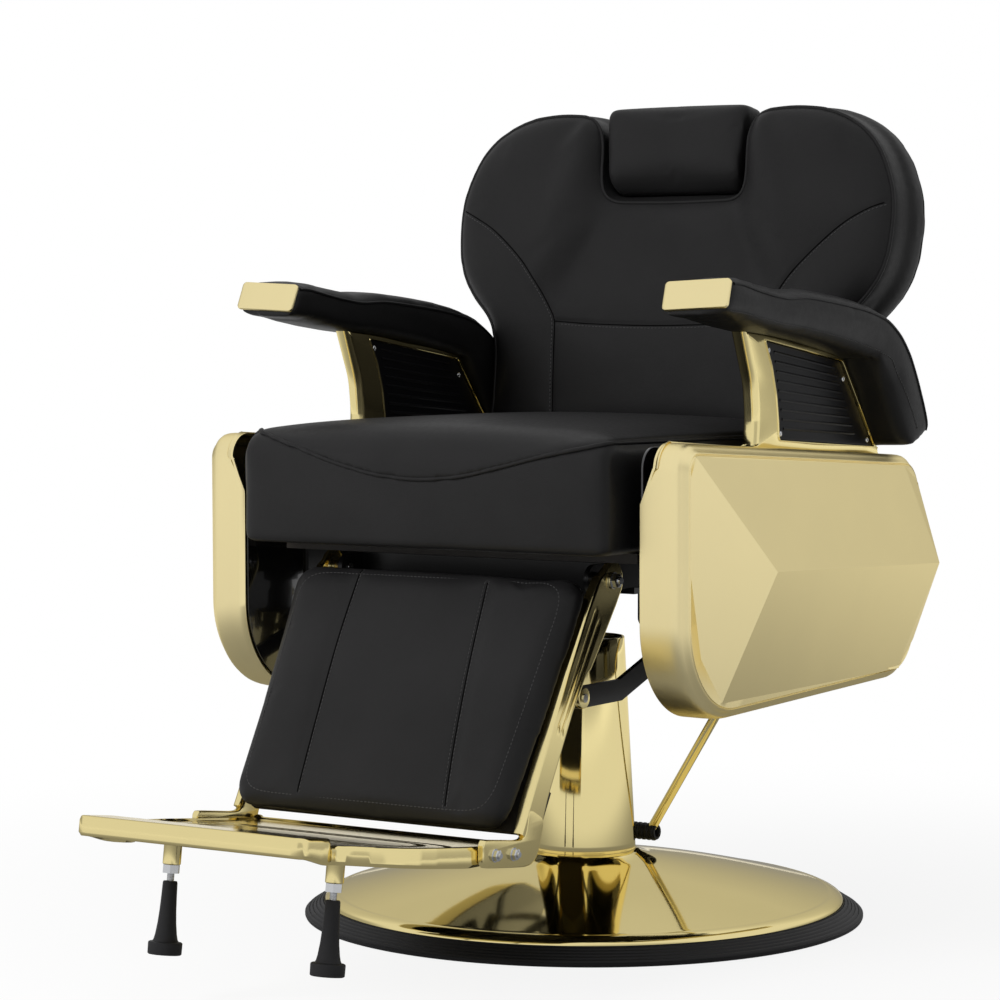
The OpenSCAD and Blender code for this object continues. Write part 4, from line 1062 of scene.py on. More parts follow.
def arm_frame_body(name):
    """Ring round the window: a thin bright lip inside, well rounded towards the pad and the front."""
    centre = np.array((62.0, 648.0))
    inner_loop, outer_loop = arm_window(0), arm_loop()
    d = np.concatenate([inner_loop, outer_loop]) - centre
    angles = np.concatenate([np.arctan2(d[:, 1], d[:, 0]), np.linspace(-math.pi, math.pi, 90)[:-1]])
    angles = np.unique(np.round(angles, 3))
    verts = []
    for p, q in zip(ray_outline(inner_loop, centre, angles), ray_outline(outer_loop, centre, angles)):
        size = np.linalg.norm(q - p)
        on_panel = q[1] < 597 and q[0] < 232
        r = 1.5 if on_panel else max(1.5, min(9.0, size - 4.0))
        half = [(0.0, 6.5), (0.0, 11.0), (0.5, 11.5), (1.9, 11.5), (2.3, 11.0), (2.6, 10.6)]
        half += [(size - r + r * math.sin(t), 10.6 - r + r * math.cos(t)) for t in np.radians(range(0, 91, 18))]
        for a, b in half + [(a, -b) for a, b in half[::-1]]:
            verts.append((283.5 + b, *(p + (q - p) * (a / size))))
    n = len(angles)
    count = len(verts) // n
    faces = []
    for j in range(n):
        k = (j + 1) % n
        for i in range(count):
            m = (i + 1) % count
            faces.append((j * count + i, k * count + i, k * count + m, j * count + m))
    return tidy(to_object(name, verts, faces))


class CHAIR_OT_arm_frames(bpy.types.Operator):
    """Gold armrest frames with ribbed black inserts, screws and end caps"""
    bl_idname = "chair.arm_frames"
    bl_label = "Armrest frames"

    def execute(self, context):
        for hand, side in HANDS:
            body = arm_frame_body(f"frame_body_{hand}")
            tab = outlined(f"frame_tab_{hand}", [[(-78, 600), (198, 584), (198, 532), (-78, 532)]], 277.2, 283, 0.5)
            made = flip_x(join(f"gold_arm_frame_{hand}", body, tab), side)
            flesh(shade(made, 35), "seat", "gold_cast", [f"arm_frame_{hand}"])
            plate = outlined(f"insert_plate_{hand}", [arm_window(0.4)], 275.8, 291.2, 0.6)
            ribs = bare_cord(f"insert_ribs_{hand}", self.rib_lines(), 0.0024, 8, 0.02)
            made = flip_x(join(f"ribbed_arm_insert_{hand}", plate, ribs), side)
            flesh(shade(made, 40), "seat", "black_plastic", [f"arm_insert_{hand}"])
            # screws through the insert, seen on both of its faces, and two through the frame's tab
            spots = []
            for y, z in ((-62, 709), (135, 672), (203, 594.5), (-31, 609)):
                spots += [(mm(side * 291.0, y, z), (side, 0, 0)), (mm(side * 276.0, y, z), (-side, 0, 0))]
            spots += [(mm(side * 270.0, y, 548), (-side, 0, 0)) for y in (-40, 160)]
            scattered(f"arm_screw_heads_{hand}", screw_part(), spots, "seat", "zinc_fasteners",
                      replaces=[f"arm_screws_{hand}"])
            cap = flip_x(self.end_cap(f"satin_arm_cap_{hand}"), side)
            flesh(cap, "seat", "gold_satin", [f"arm_cap_{hand}"])
        return {"FINISHED"}

    @staticmethod
    def rib_lines():
        """Lines of the ribs on both faces of the left insert, in metres."""
        rows = []
        n = sizes().arm_ribs
        for t in (np.arange(n) + 0.5) / n:
            (ya, za), (yb, zb) = (-62 + 28 * t, 714 - 104 * t), (118 + 62 * t, 690 - 92 * t)
            slope = (zb - za) / (yb - ya)
            for x in (289.9, 277.1):
                rows.append([mm(x, y, za + slope * (y - ya)) for y in np.linspace(ya + 12, yb - 10, 12)])
        return rows

    @staticmethod
    def end_cap(name):
        """Rounded plate on the front end of an armrest pad, with a slight crown."""
        a, b0, b1, r = 42.0, -14.2, 21.2, 5.0
        loop = np.array([p for y, z, t in ((a - r, b1 - r, 0), (-a + r, b1 - r, 90), (-a + r, b0 + r, 180),
                                           (a - r, b0 + r, 270)) for p in arc((y, z), r, t, t + 90, 5)])
        mid = np.array((0, (b0 + b1) / 2))
        size = np.maximum(np.linalg.norm(loop - mid, axis=1), 1)[:, None]
        rings = []
        for depth, edge in ((0.0, 0.4), (0.0, 0.0), (2.6, 0.0), (3.6, 0.5), (4.2, 1.5), (4.6, 4.0), (5.0, None)):
            ring = mid + (loop - mid) * (0.55 if edge is None else 1 - edge / size)
            rings.append([(x, -0.2 - depth, z) for x, z in ring])
        made = loft(name, rings)
        y, z, _, angle = ARM_STATIONS[0]
        made.data.transform(place_matrix(angle - 90, (PAD_X, y, z)) @ Matrix.Rotation(-math.atan(PAD_SLOPE), 4, "Y"))
        return shade(tidy(made), 50)


class CHAIR_OT_arm_pads(bpy.types.Operator):
    """Padded armrests with piping and stitched seams"""
    bl_idname = "chair.arm_pads"
    bl_label = "Armrest pads"

    def execute(self, context):
        made = from_cad("padded_armrest_left", "arm_pad_left", 5)
        relax(made, 3)
        pins = np.clip((-225 - coords(made)[:, 1] / MM) / 15, 0, 1)
        swell(made, 3.0, pins, 3.0)
        relax(subdivide(made), 2)
        tree = surface(made)
        # piping along the outer and inner top edges, and a seam under the outer side
        top_out, top_in = [], []
        for y, z, half, a in spline(ARM_STATIONS, 4)[3:]:
            c, s = math.cos(math.radians(a)), math.sin(math.radians(a))
            for row, x in ((top_out, 340.5), (top_in, 261.5)):
                b = half * 0.66 + PAD_SLOPE * (x - PAD_X)
                row.append(nearest_out(tree, mm(x, y + b * c, z + b * s), 0.0004))
        seam = [nearest_out(tree, mm(344.5, y, z), 0.0004) for y, z in spline(ARM_SEAM, 6)]
        for hand, side in HANDS:
            pad = made if side > 0 else flip_x(linked("padded_armrest_right", made.data.copy()), side)
            flesh(shade(pad, 0), "seat", "black_upholstery", [f"arm_pad_{hand}"])
            lines = [mirrored(row, side) for row in (top_out, top_in)]
            cords(f"armrest_piping_{hand}", lines, "seat", radius=0.0019)
            stitches(f"armrest_stitches_{hand}", [mirrored(seam, side)], "seat")
        return {"FINISHED"}


# ------------------------------------------------------------------ seat


# the curved front seam in front view; it ends on the cushion's sides
SMILE = [(-253, 607), (-247, 614), (-226, 610), (-170, 595), (-112, 578), (-56, 566), (0, 562), (56, 566),
         (112, 578), (170, 592), (226, 603), (247, 607), (253, 601)]


class CHAIR_OT_seat(bpy.types.Operator):
    """Seat cushion with its curved front seam and piping"""
    bl_idname = "chair.seat"
    bl_label = "Seat cushion"

    def execute(self, context):
        rings = soft_solid(252.5, -375.5, 131.0, 480.4, 616.0, (20, 34, 24), 7, 13)
        made = loft("upholstered_seat_cushion", rings)
        relax(remesh(made, 6), 1)
        co = coords(made) / MM
        smile = self.smile_height(co[:, 0])
        front = smoothstep(-co[:, 1], 330.0, 350.0)
        side = smoothstep(np.abs(co[:, 0]), 236.0, 246.0)
        seam = np.exp(-((co[:, 2] - smile) / 9.0) ** 2) * np.maximum(front, side)
        pins = np.maximum(seam, smoothstep(-co[:, 2], -500.0, -486.0))
        swell(made, sizes().puff / MM, pins)
        relax(subdivide(made), 1)
        co = coords(made) / MM
        # crown of the top, fuller towards the front
        r = np.clip(1 - (co[:, 0] / 250) ** 2, 0, 1) * np.clip(1 - ((co[:, 1] + 122) / 252) ** 4, 0, 1)
        co[:, 2] += smoothstep(co[:, 2], 585, 612) * 10.0 * r
        # the top panel rolls over the front edge and stands proud of the border below the seam
        smile = self.smile_height(co[:, 0])
        front = smoothstep(-co[:, 1], 320.0, 352.0)
        above = co[:, 2] - smile
        co[:, 1] -= front * (np.where(above > 0, 3.0 * np.exp(-above / 22), -0.6) - groove(above * 0.8))
        side = smoothstep(np.abs(co[:, 0]), 240.0, 249.0) * (1 - front)
        co[:, 0] -= np.sign(co[:, 0]) * side * groove(above * 0.8)
        set_coords(made, co * MM)
        flesh(shade(made, 0), "seat", "black_upholstery", ["seat_cushion"])
        tree = surface(made)
        world = Matrix.Identity(4)
        front = drape(tree, world, spline(SMILE[1:-1], 10), -600, 0)
        sides = []
        for s in (-1, 1):
            row = [cast(tree, world, (s * 400, y, 607.0 - 4.0 * (y + 350) / 468.0), (-s, 0, 0))
                   for y in np.linspace(-350, 118, 48)]
            sides.append([hit for hit in row if hit is not None])
        line = [nearest_out(tree, p, 0.0006) for p in sides[0][::-1] + front + sides[1]]
        cords("seat_piping", [line], "seat")
        return {"FINISHED"}

    @staticmethod
    def smile_height(x):
        """Height of the front seam at x."""
        return np.interp(x, *zip(*SMILE))


# ------------------------------------------------------------------ back


# right half of the backrest's outline up to the headrest notch, and the notch: x and height along the back
BACK_HALF = [(0, 84), (120, 84), (210, 85), (238, 88), (248, 95), (251, 109), (250, 136), (251, 170), (254, 210),
             (261, 237), (273, 255), (288, 271), (301, 288), (311, 307), (318, 332), (321, 360), (321, 387),
             (317, 412), (309, 436), (297, 461), (279, 483), (256, 500), (228, 512), (202, 517.5), (175, 519.6),
             (150, 518), (128, 512.6)]
NOTCH_HALF = [(119, 505), (111, 490), (106, 468), (104, 440), (102, 426), (97, 415.5), (87, 410.5), (60, 409),
              (0, 408.5)]
# top edge of the rear half, which has no deep notch
REAR_TOP = [(112, 505), (90, 497), (66, 494), (66, 466), (0, 466)]


def back_outline(notch=True, pull=0.0):
    """Closed outline of the backrest, pulled in by pull."""
    top = spline([BACK_HALF[-1]] + NOTCH_HALF, 4)[1:] if notch else REAR_TOP
    half = np.concatenate([spline(BACK_HALF, 4), top])
    return inset(np.concatenate([half, half[-2:0:-1] * np.array((-1, 1))]), pull)


# seams, the ridge of each lobe and the crease inside it, on the sitter's left half
SEAM_SIDE = [(140, 86), (143, 98), (147, 137), (151, 204), (153, 240), (161, 257), (182, 288), (206, 317),
             (233, 343), (262, 366), (291, 382), (311, 391)]
SEAM_ACROSS = [(-153, 241), (-90, 237), (0, 235), (90, 237), (153, 241)]
RIDGE = [(106, 512), (118, 466), (137, 414), (150, 371), (166, 312), (172, 283), (160, 258)]
CREASE = [(84, 402), (96, 375), (112, 350), (136, 300), (152, 268), (157, 258)]


def prism(name, loop, y0, y1):
    """Straight solid from an (x, t) outline between two depths in the back's frame."""
    n = len(loop)
    verts = [(x, y0, t) for x, t in loop] + [(x, y1, t) for x, t in loop]
    faces = [tuple(range(n)), tuple(range(2 * n - 1, n - 1, -1))]
    faces += [(i, i + n, (i + 1) % n + n, (i + 1) % n) for i in range(n)]
    made = to_object(name, verts, faces)
    bm = bmesh.new()
    bm.from_mesh(made.data)
    bmesh.ops.triangulate(bm, faces=bm.faces)
    bmesh.ops.recalc_face_normals(bm, faces=bm.faces)
    bm.to_mesh(made.data)
    bm.free()
    return made


class CHAIR_OT_back(bpy.types.Operator):
    """Backrest cover with its puffed lobes, sunk middle, seams and piping"""
    bl_idname = "chair.back"
    bl_label = "Backrest"

    def execute(self, context):
        loop = back_outline()
        front = prism("front", back_outline(True, -2.0), -20.0, 42.0)
        rear = prism("rear", back_outline(False, -9.0), 27.0, 58.5)
        made = remesh(join("upholstered_backrest", front, rear), 6)
        co = coords(made) / MM
        flat = co[:, [0, 2]]
        y = self.face_depth(flat, polygon_distance(flat, loop))
        co[:, 1] = np.where(co[:, 1] < 24, 24 - (24 - co[:, 1]) / 44.0 * (24 - y), co[:, 1])
        relax(set_coords(made, co * MM), 2)
        co = coords(made) / MM
        pins = np.maximum(np.exp(-(self.seam_distance(co) / 7.0) ** 2), smoothstep(co[:, 1], 14.0, 27.0))
        crease = line_distance(np.abs(co[:, [0, 2]]), CREASE)
        pins = np.maximum(pins, 0.8 * np.exp(-(crease / 9.0) ** 2))
        swell(made, sizes().puff / MM, pins)
        relax(subdivide(made), 2)
        co = coords(made) / MM
        co[:, 1] += smoothstep(-co[:, 1], 8.0, 16.0) * groove(self.seam_distance(co))
        set_coords(made, co * MM)
        made.data.transform(BACK)
        flesh(shade(made, 0), "backrest", "black_upholstery", ["back_cushion", "back_board"])
        tree = surface(made)
        edge = [nearest_out(tree, BACK @ mm(x, -19.0, t), 0.0002) for x, t in loop]
        rear_edge = [nearest_out(tree, BACK @ mm(x * 1.01, 53.0, t), 0.0) for x, t in back_outline(False)]
        cords("backrest_piping", [edge, rear_edge], "backrest", closed=True)
        side, across = spline(SEAM_SIDE[1:], 6), spline(SEAM_ACROSS, 10)
        flips = [np.array((s, 1)) for s in (-1, 1)]
        joints = [side * flip for flip in flips] + [across]
        rows = [offset_line(side, -3.4) * flip for flip in flips] + [offset_line(across, -3.6)[3:-3]]
        # near-black cords along the seams: painted shade in their grooves
        cords("backrest_seams", [drape(tree, BACK, line) for line in joints], "backrest", radius=0.0009, sides=6,
              finish="seam")
        stitches("backrest_stitches", [drape(tree, BACK, line) for line in rows], "backrest")
        return {"FINISHED"}

    @staticmethod
    def seam_distance(co):
        """Distance to the nearest seam, from points in the back's frame."""
        flat = co[:, [0, 2]]
        return np.minimum(line_distance(np.abs(flat), SEAM_SIDE), line_distance(flat, SEAM_ACROSS))

    @staticmethod
    def face_depth(flat, w):
        """Depth of the front face: rolled edges, lobes, sunk middle between the creases."""
        x, t = np.abs(flat[:, 0]), flat[:, 1]
        roll, rise = sizes().back_roll / MM, sizes().back_rise / MM
        p = rise * np.power(1 - np.power(1 - np.clip(w / roll, 0, 1), 2.2), 1 / 1.6)
        rx, cx = (np.interp(t, line[::-1, 1], line[::-1, 0]) for line in (np.array(RIDGE), np.array(CREASE)))
        depth = np.interp(t, [240, 262, 300, 350, 400, 440, 512], [0, 1, 7, 13, 17, 18, 17])
        inner = 1 - smoothstep(x, cx, np.maximum(rx, cx + 4))
        sunk = depth * np.where(t > 240, inner, 0)
        bulge = 6.0 * np.exp(-((x - rx - 14) / 20.0) ** 2) * smoothstep(t, 262, 330)
        low = np.where(t < 238, np.clip(1 - ((t - 160) / 80) ** 2, 0, 1), 0)
        crown = -3.0 * np.clip(1 - (x / 150) ** 2, 0, 1) * low
        return -18.0 - p + sunk - bulge + crown


class CHAIR_OT_headrest(bpy.types.Operator):
    """Headrest pillow"""
    bl_idname = "chair.headrest"
    bl_label = "Headrest"

    def execute(self, context):
        rings = soft_solid(101.0, 413.0, 526.5, 25.0, -25.0, (11, 38, 15), 5, 11)
        made = loft("headrest_pillow", tapered(rings, 0.0008, 470))
        made.data.transform(BACK)
        relax(remesh(made, 4), 2)
        swell(made, 2.5, smoothstep(local(made, BACK)[:, 1], 8.0, 20.0), 3.0)
        relax(subdivide(made), 2)
        flesh(shade(made, 0), "headrest", "black_upholstery", ["headrest_pad"])
        return {"FINISHED"}


# ------------------------------------------------------------------ footrest


LEG_SEAM_LEFT = [(-103, -32), (-103, -124), (-97, -227), (-90, -318)]
LEG_SEAM_RIGHT = [(77, -42), (87, -150), (100, -249), (112, -318)]


class CHAIR_OT_leg_pad(bpy.types.Operator):
    """Leg pad with its two stitched seams"""
    bl_idname = "chair.leg_pad"
    bl_label = "Leg pad"

    def execute(self, context):
        rings = soft_solid(192.0, -334.0, -27.0, -37.5, -65.0, (19, 18, 13), 3, 24)
        inner = soft_solid(177.0, -326.0, -34.0, -20.3, -44.0, (2, 2, 2), 1, 14)
        made = join("leg_rest_pad", *[loft("part", tapered(block, 0.00028, -180)) for block in (rings, inner)])
        made.data.transform(FOOT)
        relax(remesh(made, 5), 2)
        co = local(made, FOOT)
        seams = np.minimum(*self.seam_distances(co))
        pins = np.maximum(np.exp(-(seams / 7.0) ** 2) * (co[:, 1] < -45), smoothstep(co[:, 1], -34.0, -24.0))
        swell(made, 3.5, pins)
        relax(subdivide(made), 1)
        co = local(made, FOOT)
        left, right = self.seam_distances(co)
        co[:, 1] += smoothstep(-co[:, 1], 44.0, 54.0) * (0.5 * groove(left) + 0.8 * groove(right))
        set_local(made, FOOT, co)
        flesh(shade(made, 0), "footrest", "black_upholstery", ["leg_pad"])
        tree = surface(made)
        left, right = spline(LEG_SEAM_LEFT, 10), spline(LEG_SEAM_RIGHT, 10)
        rows = [drape(tree, FOOT, offset_line(line, by)) for line, by in ((right, -2.8), (right, 2.8), (left, 2.8))]
        # a row of stitches round the front face
        loop = []
        for t in np.arange(121) * math.pi / 60:
            c, s = math.cos(t), math.sin(t)
            z = -180.5 + 141 * math.copysign(abs(s) ** 0.16, s)
            x = 175 * math.copysign(abs(c) ** 0.16, c) * (1 + 0.00028 * (z + 180))
            loop.append(nearest_out(tree, FOOT @ mm(x, -62, z), 0.0))
        loop[-1] = loop[0]
        stitches("leg_pad_stitches", rows + [loop], "footrest")
        # near-black cords along both seams: painted shade in their grooves
        seams = [drape(tree, FOOT, line) for line in (left, right)]
        cords("leg_pad_seams", seams, "footrest", radius=0.0008, sides=6, finish="seam")
        return {"FINISHED"}

    @staticmethod
    def seam_distances(co):
        """Distance to each seam, from points in the footrest's frame."""
        return [line_distance(co[:, [0, 2]], line) for line in (LEG_SEAM_LEFT, LEG_SEAM_RIGHT)]


def arm_section(z):
    """Front and rear edge of a footrest arm at a height along it, in its own frame."""
    if z >= 0:
        half = math.sqrt(max(0.0, 1 - (z / 23) ** 2))
        return 2 - 24 * half, 2 + 24 * half
    front = np.interp(-z, [0, 12, 60, 136, 280, 352], [-22, -28, -31, -34, -34, -32])
    rear = np.interp(-z, [0, 20, 50, 108, 113, 120, 167, 274, 320, 352], [26, 24.5, 20.5, 12, 9, 6.5, 1, 2, 8, 10])
    return front, rear


class CHAIR_OT_footrest_arms(bpy.types.Operator):
    """Pressed gold footrest arms with their long beads and bolt tabs"""
    bl_idname = "chair.footrest_arms"
    bl_label = "Footrest arms"

    def execute(self, context):
        tab_line = [(-541, 170), (-541, 177), (-538.5, 181), (-533, 182), (-500, 177.5), (-470, 173.5),
                    (-459, 175), (-453, 184), (-447, 203), (-432, 199), (-418, 188), (-423, 168), (-430, 152),
                    (-440, 144), (-452, 142), (-470, 143.2), (-528, 150.5), (-537, 153), (-541, 159)]
        for hand, side in HANDS:
            arm = loft("channel", [self.ring(z) for z in self.heights()])
            arm.data.transform(FOOT)
            hub = revolve("hub", [(6.1, 0), (14.4, 0), (15, 0.6), (15, 8), (6.1, 8)], 48)
            hub.data.transform(place_matrix(90, (191.2, *FOOT_PIVOT), "Y"))
            tab = outlined("tab", [spline(tab_line, 4, closed=True)], 191, 199.3, 1.8, 4)
            # boss of the link pin behind the arm
            boss = outlined("boss", [arc((-326.1, 315.8), 12, 0, 350, 30)], 190.6, 197, 0.8, 2)
            made = flip_x(join(f"pressed_footrest_arm_{hand}", arm, hub, tab, boss), side)
            flesh(shade(made, 36), "footrest", "gold_pressed", [f"footrest_arm_{hand}"])
        return {"FINISHED"}

    @staticmethod
    def heights():
        """Places of the rings along an arm, closer together at the pivot and at the step."""
        top = [23 * math.cos(math.radians(a)) for a in (4, 20, 35, 50, 65, 80)]
        parts = [np.linspace(a, b, n) for a, b, n in ((0, -104, 27), (-107, -124, 8), (-130, -330, 41))]
        return np.concatenate([top] + parts)

    @staticmethod
    def ring(z):
        """Cross section of an arm: a channel with two long beads, open to the inside."""
        front, rear = arm_section(z)
        x0, thick, r = 199.0, 3.0, 4.0
        lip = x0 - thick - 1.2 - np.interp(-z, [-23, -10, 10, 36, 300, 330], [0, 0.5, 5, 8, 8, 5])
        low = x0 - thick - 1.2 - np.interp(-z, [-23, -10, 24, 40, 106, 116], [0, 0, 1, 3, 3, 0])
        outer = [(lip, front)]
        outer += [(x0 - r + r * math.cos(a), front + r - r * math.sin(a)) for a in np.radians((90, 67, 45, 22, 0))]
        for t in np.arange(1, 34) / 34:
            y = front + r + (rear - front - 2 * r) * t
            dip = 0.0
            for c, z0, z1 in ((-12.0 + 0.035 * z, -44, -200), (2.0 + 0.06 * z, -52, -200)):
                along = min(1.0, max(0.0, (z0 - z) / 6.0)) * min(1.0, max(0.0, (z - z1) / 6.0))
                dip = max(dip, 1.7 * along * max(0.0, 1 - ((y - c) / 4.2) ** 2))
            outer.append((x0 - dip, y))
        outer += [(x0 - r + r * math.cos(a), rear - r + r * math.sin(a)) for a in np.radians((0, 22, 45, 67, 90))]
        outer.append((low, rear))
        inner = [(low, rear - thick), (x0 - thick, rear - thick)]
        inner += [(x0 - thick, front + (rear - front) * t) for t in (0.75, 0.5, 0.25)]
        inner += [(x0 - thick, front + thick), (lip, front + thick)]
        return [(x, y, z) for x, y in outer + inner]


# footplate from its front edge to its rear one
PLATE_DEPTH = 384


def plate_half(y):
    """Half width of the footplate at a distance behind its front edge."""
    if y < 14:
        return 150 - rounding(14, y)
    ys = [14, 40, 52, 58, 66, 78, 92, 108, 124, 142, 165, 192, 230, 262, 266]
    xs = [150, 150, 149, 145.5, 140.5, 140, 147, 160, 171.5, 181, 187.5, 190.4, 191, 191, 190.6]
    return np.interp(y, ys, xs)


class CHAIR_OT_footplate(bpy.types.Operator):
    """Cast footplate with its raised front bar, oval beads and foot bosses"""
    bl_idname = "chair.footplate"
    bl_label = "Footplate"

    def execute(self, context):
        rows = [0.0, 0.4, 1.5, 3.4, 6, 9, 12, 15, *range(18, PLATE_DEPTH, 3), 382.8, 383.7, PLATE_DEPTH]
        made = loft("cast_footplate", [self.ring(y) for y in rows])
        made.data.transform(PLATE)
        flesh(shade(made, 40), "footrest", "gold_cast", ["footplate"])
        profile = [(4.1, -50), (9.2, -50), (10, -49.2), (10, -24), (12, -21), (13, -16), (4.1, -16)]
        posts = [revolve("post", profile, 56, centre=(s * FOOT_AT[0], FOOT_AT[1])) for s in (-1, 1)]
        bosses = join("gold_foot_bosses", *posts)
        bosses.data.transform(PLATE)
        flesh(shade(bosses, 40), "footrest", "gold_cast", ["foot_bosses"])
        return {"FINISHED"}

    @staticmethod
    def top(x, y, half):
        """Height of the top: raised front bar, low middle, raised rear edge, oval beads."""
        low = smoothstep(y, 56.0, 66.0)
        z = np.interp(y, [60, 370], [-10.5, -5.0]) * low + 3.6 * smoothstep(y, 370.0, 374.0)
        z += 2.2 * low * (1 - smoothstep(half - abs(x), 7.0, 11.0))
        for a, b in ((124, 58), (106, 42)):
            px, py = abs(x), y - 210
            d = abs((math.hypot(px - a, py) if px > a else abs(py)) - b)
            z -= 1.9 * max(0.0, 1 - (d / 3.4) ** 2)
        return z

    def ring(self, y):
        """Cross section of the plate across the chair: the top, then the hollow underside."""
        half, end = plate_half(y), min(y, PLATE_DEPTH - y)
        tuck = rounding(5, end)
        out = []
        for t in np.arange(91) / 90:
            x = half * (0.55 * (2 * t - 1) - 0.45 * math.cos(math.pi * t))
            out.append((x, y, self.top(x, y, half) - max(rounding(5, half - abs(x)), tuck)))
        wall = 6.5 * smoothstep(y, 8.0, 60.0) * (1 - smoothstep(y, 250.0, 330.0))
        for t in np.arange(41) / 40:
            x = half * (0.5 * (1 - 2 * t) + 0.5 * math.cos(math.pi * t))
            w = half - abs(x)
            shell = smoothstep(w, 9.0, 15.0)
            hollow = 7.0 * shell * smoothstep(end, 10.0, 18.0) - wall * (1 - shell)
            out.append((x, y, -22.0 + max(rounding(4, w), tuck * 0.8) + hollow))
        return out


class CHAIR_OT_feet(bpy.types.Operator):
    """Flared rubber support feet with threaded studs"""
    bl_idname = "chair.feet"
    bl_label = "Support feet"

    def execute(self, context):
        # z is the underside of the boss that a stud screws into
        z, y = -50, FOOT_AT[1]
        cone = [(0.05, z - 98), (17.5, z - 98), (18.6, z - 97), (18.8, z - 86), (18.4, z - 84.6), (17.2, z - 84),
                (14.4, z - 83.6), (13.2, z - 81.5), (11.9, z - 76), (10.3, z - 64), (9.2, z - 50), (8.5, z - 34),
                (8.1, z - 20), (7.4, z - 18), (0.05, z - 18)]
        for hand, side in HANDS:
            x, body = side * FOOT_AT[0], f"support_foot_{hand}"
            foot = revolve("rubber_" + body, cone, 64, closed=False, centre=(x, y))
            foot.data.transform(PLATE)
            flesh(shade(tidy(foot, 2e-4), 40), body, "black_rubber", [body])
            turns = []
            for k in range(237):
                a = k * math.pi / 8
                turns.append(PLATE @ mm(x + 3.75 * math.cos(a), y + 3.75 * math.sin(a), z - 19.5 + 1.25 * k / 16))
            cords(f"foot_stud_thread_{hand}", [turns], body, "zinc_fasteners", 0.00045, spacing=0.0012, sides=6)
            core = [PLATE @ mm(x, y, h) for h in (z - 20, z + 12)]
            cords(f"foot_stud_{hand}", [core], body, "zinc_fasteners", 0.0037, spacing=0.01, sides=20)
        return {"FINISHED"}


# ------------------------------------------------------------------ pump lever


class CHAIR_OT_pump_lever(bpy.types.Operator):
    """Gold pump lever with its hub and ribbed rubber grip"""
    bl_idname = "chair.pump_lever"
    bl_label = "Pump lever"

    def execute(self, context):
        across = 80
        hub, elbow, tip = np.array((55.0, 370.0)), np.array((180.0, 308.0)), np.array((53.0, 101.0))
        u, v = (hub - elbow) / np.linalg.norm(hub - elbow), (tip - elbow) / np.linalg.norm(tip - elbow)
        bend = [(1 - t) ** 2 * (elbow + u * 16) + 2 * t * (1 - t) * elbow + t * t * (elbow + v * 16)
                for t in np.linspace(0, 1, 14)]
        line = [mm(x, across, z) for x, z in [hub - u * 10, *bend, tip]]
        rod = bare_cord("rod", [line], 0.006, 28, 0.004)
        ring = revolve("eye", [(6.1, -6.2), (11.2, -6.2), (12, -5.4), (12, 5.4), (11.2, 6.2), (6.1, 6.2)], 56)
        ring.data.transform(place_matrix(90, (hub[0], across, hub[1])))
        flesh(shade(join("gold_pump_lever", rod, ring), 40), "pump_lever", "gold_polished", ["pump_lever"])
        grip = [(0.05, 10), (9.0, 10.4), (9.9, 11.4)]
        for x in range(12, 61, 7):
            grip += [(9.8, x), (10.4, x + 0.4), (11.0, x + 1.2), (11.0, x + 3.6), (10.4, x + 4.4), (9.8, x + 4.8)]
        grip += [(9.6, 60.4), (9.2, 61), (6.2, 61), (5.8, 60), (5.6, 54), (0.05, 54)]
        made = revolve("ribbed_lever_grip", grip, 56, closed=False)
        made.data.transform(place_matrix(90, (0, across, 96), "Y"))
        flesh(shade(tidy(made, 2e-4), 45), "pump_lever", "black_rubber", ["lever_grip"])
        return {"FINISHED"}


# ------------------------------------------------------------------ hardware kept from the frame


class CHAIR_OT_bolts(bpy.types.Operator):
    """Hexagon bolts of the footplate and of the footrest pivots"""
    bl_idname = "chair.bolts"
    bl_label = "Footrest bolts"

    def execute(self, context):
        spots = [(mm(s * 199.2, y, z), (s, 0, 0)) for s in (-1, 1) for y, z in ((-519, 163.5), (-481, 159.5))]
        scattered("footplate_hex_bolts", hex_part(), spots, "footrest", "zinc_fasteners", 0.95, ["footplate_bolts"])
        spots = [(mm(s * 199.6, *FOOT_PIVOT), (s, 0, 0)) for s in (-1, 1)]
        nuts = scattered("pivot_nuts", hex_part(), spots, "seat", "zinc_fasteners", 1.25)
        nuts.data.materials.clear()
        # a spacer and the bolt's shank on each side
        rods = []
        for s in (-1, 1):
            for r, a, b in ((8.6, 176.0, 190.8), (5.6, 168.0, 201.0)):
                profile = [(0.05, a), (r - 0.6, a), (r, a + 0.6), (r, b - 0.6), (r - 0.6, b), (0.05, b)]
                rod = revolve("rod", profile, 40, closed=False)
                rod.data.transform(place_matrix(90 * s, (0, *FOOT_PIVOT), "Y"))
                rods.append(tidy(rod, 2e-4))
        made = join("footrest_pivot_bolts_and_nuts", nuts, *rods)
        flesh(shade(made, 30), "seat", "zinc_fasteners", ["footrest_pivot_bolts"])
        return {"FINISHED"}


class CHAIR_OT_hardware(bpy.types.Operator):
    """Finishes of the frame, bolts, links, ram and boards that keep their own shape"""
    bl_idname = "chair.hardware"
    bl_label = "Hardware finishes"

    def execute(self, context):
        table = finishes()
        slot_of = {n: row["slot"] for row in frame["record"].get("materials", []) for n in row.get("nodes", [])}
        for name, thing in NODES.items():
            old = thing.data.materials[0].name if thing.data.materials else ""
            slot = slot_of.get(name) or next((s for s in table if old.startswith(s)), None)
            if slot is None:
                raise RuntimeError(f"no finish for {name}")
            for holder in thing.material_slots:
                holder.material = table[slot]
        return {"FINISHED"}


# ------------------------------------------------------------------ stage


